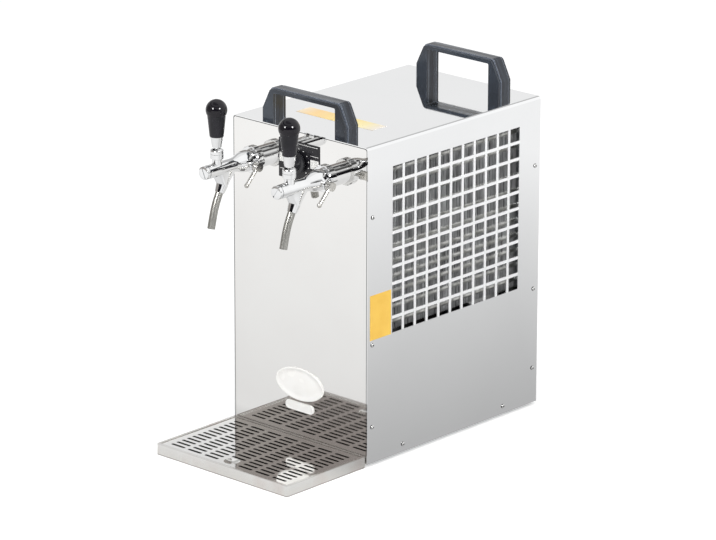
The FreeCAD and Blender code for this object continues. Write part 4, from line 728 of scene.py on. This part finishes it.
# Behind the grille stand the condenser's thin aluminium fins, dulled by dust, with its
# tubes running level through them and the fan in its shroud behind.
fins, surface = new_finish("fin_aluminium", (0.62, 0.63, 0.64), 0.45, 0.6)
cloud_over(fins, surface, 60, (0.95, 0.96, 0.97), (0.24, 0.24, 0.25), 0.30, 0.6, (1, 12, 0.2))
dress(fins, "condenser_fins")
tubes, surface = new_finish("condenser_tube", (0.5, 0.5, 0.48), 0.35, 1.0)
cloud_over(tubes, surface, 80, (0.55, 0.55, 0.53), (0.34, 0.34, 0.32), 0.28, 0.5)
dress(tubes, "condenser_tubes")
cast, surface = new_finish("cast_aluminium", (0.6, 0.61, 0.62), 0.45, 1.0)
cloud_over(cast, surface, 120, (0.64, 0.65, 0.66), (0.54, 0.55, 0.56), 0.36, 0.56)
grain_bump(cast, surface, 1500, 0.25)
dress(cast, "cooling_block", "fan_blades")
black_steel, surface = new_finish("black_painted_steel", (0.03, 0.03, 0.03), 0.4)
cloud_over(black_steel, surface, 60, (0.034, 0.034, 0.036), (0.024, 0.024, 0.025), 0.3, 0.5)
grain_bump(black_steel, surface, 900, 0.2)
dress(black_steel, "compressor", "fan_motor")

# Copper lines join the compressor, the condenser and the cooling block in its foam. Milky
# hoses bring the beer in and lead it to the taps.
copper, surface = new_finish("copper_line", (0.72, 0.42, 0.30), 0.3, 1.0)
cloud_over(copper, surface, 90, (0.80, 0.46, 0.32), (0.55, 0.30, 0.20), 0.2, 0.45)
dress(copper, "refrigerant_lines")
foam, surface = new_finish("insulation_foam", (0.76, 0.72, 0.60), 0.9)
cloud_over(foam, surface, 40, (0.80, 0.76, 0.64), (0.70, 0.65, 0.52), 0.85, 0.95)
grain_bump(foam, surface, 500, 0.5)
dress(foam, "insulation_box")
hose, surface = new_finish("beer_hose", (0.80, 0.82, 0.78), 0.35)
cloud_over(hose, surface, 60, (0.82, 0.84, 0.80), (0.76, 0.78, 0.73), 0.28, 0.42)
dress(hose, "beer_lines")
pump, surface = new_finish("pump_paint", (0.20, 0.22, 0.24), 0.45)
cloud_over(pump, surface, 50, (0.22, 0.24, 0.26), (0.17, 0.19, 0.21), 0.38, 0.55)
grain_bump(pump, surface, 800, 0.25)
dress(pump, "air_pump")

# The rear couplings are grey mouldings. The mains socket, the terminal box and the two
# rocker switches are black ones, and each rocker is marked with a line and a ring.
fitting, surface = new_finish("grey_fitting", (0.55, 0.55, 0.53), 0.4)
cloud_over(fitting, surface, 110, (0.58, 0.58, 0.56), (0.50, 0.50, 0.48), 0.34, 0.5)
grain_bump(fitting, surface, 2000, 0.15)
dress(fitting, "beer_inlet_left", "beer_inlet_right", "air_outlet")
switch_black, surface = new_finish("switch_black", (0.02, 0.02, 0.022), 0.35)
cloud_over(switch_black, surface, 140, (0.024, 0.024, 0.027), (0.016, 0.016, 0.018), 0.28, 0.44)
grain_bump(switch_black, surface, 2400, 0.12)
dress(switch_black, "mains_inlet", "terminal_box", "power_switch_frame", "pump_switch_frame",
      "power_rocker", "pump_rocker")
rocker_lean = math.radians(20)
mark_up = 4.3 * mm
ring_outer = 1.9 * mm
ring_inner = 1.4 * mm
stroke_wide = 0.6 * mm
stroke_long = 4 * mm
for word in ("power", "pump"):
    lowest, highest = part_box(f"{word}_rocker")
    middle_x = (lowest[0] + highest[0]) / 2
    frame_low, frame_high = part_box(f"{word}_switch_frame")
    middle_z = (frame_low[2] + frame_high[2]) / 2
    work = bmesh.new()
    ring = [(ring_outer, 0), (ring_outer, ink_thick), (ring_inner, ink_thick), (ring_inner, 0),
            (ring_outer, 0)]
    turned(work, ring, 32)
    flat = Matrix.Rotation(-math.pi / 2, 4, "X")
    lower = Matrix.Translation((middle_x, highest[1], middle_z - mark_up))
    bmesh.ops.transform(work, matrix=lower @ flat, verts=work.verts)
    made = bmesh.ops.create_cube(work, size=1)["verts"]
    upper = Matrix.Translation((middle_x, highest[1] - mark_up * math.sin(rocker_lean),
                                middle_z + mark_up * math.cos(rocker_lean)))
    stroke = Matrix.Diagonal((stroke_wide, ink_thick * 2, stroke_long, 1))
    bmesh.ops.transform(work, matrix=upper @ Matrix.Rotation(rocker_lean, 4, "X") @ stroke,
                        verts=made)
    finished_piece(f"{word}_rocker_marks", work, white_ink, f"{word}_rocker",
                   smooth=False)

# The stage. The floor is matt and pale for light, and white for the camera. For metal it glows
# instead, though it is no lamp, with painted shade: darker beside and behind the cabinet, and a
# little darker just in front of it, than far off.
floor_finish = bpy.data.materials.new("floor")
floor_finish.use_nodes = True
floor_finish.node_tree.nodes.clear()
path = add_node(floor_finish, "ShaderNodeLightPath")
where = position_on(floor_finish)
beside = maths(floor_finish, "SUBTRACT", maths(floor_finish, "ABSOLUTE", where["X"]), side_x)
behind = maths(floor_finish, "SUBTRACT", where["Y"], cabinet_rear)
outward = maths(floor_finish, "MAXIMUM", beside, behind)
# Painted shade for metal: beside and behind the cabinet the glow drops to half, and in front it
# dims near the cabinet, standing in for the cabinet's shadow.
side_level = ramp(floor_finish, outward, 0.02, 0.85, 0.50, 0.98)
front_level = ramp(floor_finish, where["Y"], -1.0, -0.2, 1.0, 0.82)
in_front = ramp(floor_finish, where["Y"], -0.16, -0.09, 1.0, 0.0)
level = add_node(floor_finish, "ShaderNodeMix")
wire(floor_finish, in_front, level.inputs[0])
wire(floor_finish, side_level, level.inputs[2])
wire(floor_finish, front_level, level.inputs[3])
mirrored = add_node(floor_finish, "ShaderNodeEmission")
wire(floor_finish, level.outputs[0], mirrored.inputs["Strength"])
whitening = 0.30
glow = add_node(floor_finish, "ShaderNodeEmission")
wire(floor_finish, maths(floor_finish, "MULTIPLY", path.outputs["Is Camera Ray"], whitening),
     glow.inputs["Strength"])
matt = add_node(floor_finish, "ShaderNodeBsdfDiffuse", Color=(0.86, 0.86, 0.86, 1))
lit = add_node(floor_finish, "ShaderNodeAddShader")
wire(floor_finish, matt.outputs[0], lit.inputs[0])
wire(floor_finish, glow.outputs[0], lit.inputs[1])
choose = add_node(floor_finish, "ShaderNodeMixShader")
wire(floor_finish, path.outputs["Is Glossy Ray"], choose.inputs[0])
wire(floor_finish, lit.outputs[0], choose.inputs[1])
wire(floor_finish, mirrored.outputs[0], choose.inputs[2])
end = add_node(floor_finish, "ShaderNodeOutputMaterial")
wire(floor_finish, choose.outputs[0], end.inputs["Surface"])


def stage_mesh(name, work, finish):
    """A part of the stage, which isn't part of the cooler."""
    mesh = bpy.data.meshes.new(name)
    work.to_mesh(mesh)
    work.free()
    thing = bpy.data.objects.new(name, mesh)
    bpy.context.scene.collection.objects.link(thing)
    mesh.materials.append(finish)
    return thing


work = bmesh.new()
bmesh.ops.create_grid(work, x_segments=1, y_segments=1, size=12)
stage_mesh("floor", work, floor_finish)


# Two curved cards stand round the front: a dark one towards the viewer's side, and a warm
# grey one to the left of it. Only metal and gloss see them.
def card(name, first, last, distance, low, high, light, dark, near):
    """An upright curved card between two azimuths. Beyond the near distance it looks pale."""
    fade_over = 0.12
    finish = bpy.data.materials.new(name)
    finish.use_nodes = True
    finish.node_tree.nodes.clear()
    cloud = add_node(finish, "ShaderNodeGroup", node_tree=cloudy_tone)
    cloud.inputs["Size"].default_value = 1.6
    cloud.inputs["Light"].default_value = (*light, 1)
    cloud.inputs["Dark"].default_value = (*dark, 1)
    wire(finish, place_on(finish), cloud.inputs["Vector"])
    path = add_node(finish, "ShaderNodeLightPath")
    fade = ramp(finish, path.outputs["Ray Length"], near, near + fade_over)
    tone = mixed(finish, fade, cloud.outputs["Color"], (0.85, 0.85, 0.85, 1))
    # The card glows with its own dark or warm grey tone and is not lit: what metal sees in it is
    # a painted reflection.
    shown = add_node(finish, "ShaderNodeEmission")
    wire(finish, tone, shown.inputs["Color"])
    end = add_node(finish, "ShaderNodeOutputMaterial")
    wire(finish, shown.outputs[0], end.inputs["Surface"])
    work = bmesh.new()
    ends = [work.verts.new((0, -distance, level)) for level in (low, high)]
    strip = work.edges.new(ends)
    bmesh.ops.rotate(work, verts=work.verts, cent=(0, 0, 0),
                     matrix=Matrix.Rotation(math.radians(first), 3, "Z"))
    bmesh.ops.spin(work, geom=[*ends, strip], cent=(0, 0, 0), axis=(0, 0, 1),
                   angle=math.radians(last - first), steps=40)
    thing = stage_mesh(name, work, finish)
    thing.visible_camera = False
    thing.visible_diffuse = False
    thing.visible_shadow = False


card("dark_card", first=-12, last=113, distance=1.15, low=0.42, high=0.95,
     light=(0.016, 0.015, 0.017), dark=(0.006, 0.006, 0.008), near=1.10)
card("grey_card", first=-75, last=-12, distance=1.6, low=0.1, high=1.3,
     light=(0.46, 0.445, 0.42), dark=(0.27, 0.245, 0.235), near=2.2)

# The world is white for the camera and a little darker as light. In front, metal sees a sky
# with dark bands high up. Behind it sees a bright sky, greyer towards the left.
world = bpy.data.worlds.new("studio")
bpy.context.scene.world = world
world.use_nodes = True
world.node_tree.nodes.clear()
path = add_node(world, "ShaderNodeLightPath")
coordinates = add_node(world, "ShaderNodeTexCoord")
way = add_node(world, "ShaderNodeSeparateXYZ")
wire(world, coordinates.outputs["Generated"], way.inputs["Vector"])
front_bands = ((0.0, 0.98), (0.42, 0.93), (0.58, 0.80), (0.62, 0.08), (0.69, 0.08),
               (0.73, 0.80), (0.86, 0.85), (0.90, 0.22), (1.0, 0.40))
left_bands = ((0.335, 0.90), (0.36, 0.55), (0.71, 0.55), (0.76, 0.92))
front_sky, left_sky = [
    toned(world, way.outputs["Z"], [(height, (level, level, level)) for height, level in bands])
    for bands in (front_bands, left_bands)]
to_left = maths(world, "LESS_THAN", way.outputs["X"], -0.05)
rear_sky = mixed(world, to_left, (1.08, 1.08, 1.08, 1), left_sky)
to_rear = ramp(world, way.outputs["Y"], -0.05, 0.05)
glossy_sky = mixed(world, to_rear, front_sky, rear_sky)
plain_sky = ramp(world, path.outputs["Is Camera Ray"], 0.0, 1.0, 0.72, 1.0)
sky = add_node(world, "ShaderNodeBackground")
wire(world, mixed(world, path.outputs["Is Glossy Ray"], plain_sky, glossy_sky),
     sky.inputs["Color"])
end = add_node(world, "ShaderNodeOutputWorld")
wire(world, sky.outputs[0], end.inputs["Surface"])


# Soft lamps light the front, the right side and the top, unseen by metal. Two small ones
# are seen by gloss alone, and leave a bright spot each on the balls of the tap handles.
def soft_lamp(name, azimuth, elevation, distance, width, power):
    """A square soft lamp that points at the cooler. Azimuth 0 is the tap side."""
    middle = Vector((0, 0, 0.3))
    a, e = math.radians(azimuth), math.radians(elevation)
    way = Vector((math.sin(a) * math.cos(e), -math.cos(a) * math.cos(e), math.sin(e)))
    data = bpy.data.lights.new(name, "AREA")
    data.size = width
    data.energy = power
    lamp = bpy.data.objects.new(name, data)
    lamp.location = middle + way * distance
    lamp.rotation_euler = way.to_track_quat("Z", "Y").to_euler()
    bpy.context.scene.collection.objects.link(lamp)
    return lamp


lamps = (soft_lamp("left_lamp", -2, 32, distance=2.2, width=0.5, power=14),
         soft_lamp("right_lamp", 86, 32, distance=2.2, width=0.5, power=14),
         soft_lamp("top_lamp", 30, 80, distance=2.4, width=1.6, power=16))
for lamp in lamps:
    lamp.visible_glossy = False
glints = (soft_lamp("left_glint", -1, 26.3, distance=0.99, width=0.17, power=3.4),
          soft_lamp("right_glint", 68, 31.2, distance=0.85, width=0.17, power=3.4))
for glint in glints:
    glint.visible_diffuse = False
    glint.visible_camera = False

# The camera stands where the photograph was taken from, far off, to the right of the taps
# and a little above the cabinet.
camera_data = bpy.data.cameras.new("camera")
camera_data.lens = 218.03
camera_data.sensor_width = 36
camera = bpy.data.objects.new("camera", camera_data)
camera_at = Vector((3.38889, -3.70004, 1.81737))
azimuth = math.radians(42.45)
elevation = math.radians(17.85)
roll = math.radians(0.14)
back = Vector((math.sin(azimuth) * math.cos(elevation), -math.cos(azimuth) * math.cos(elevation),
               math.sin(elevation)))
right = Vector((math.cos(azimuth), math.sin(azimuth), 0))
up = back.cross(right)
rolled_right = right * math.cos(roll) + up * math.sin(roll)
rolled_up = up * math.cos(roll) - right * math.sin(roll)
turn = Matrix((rolled_right, rolled_up, back)).transposed().to_4x4()
camera.matrix_world = Matrix.Translation(camera_at) @ turn
bpy.context.scene.collection.objects.link(camera)
bpy.context.scene.camera = camera
bpy.context.scene.view_settings.view_transform = "Standard"
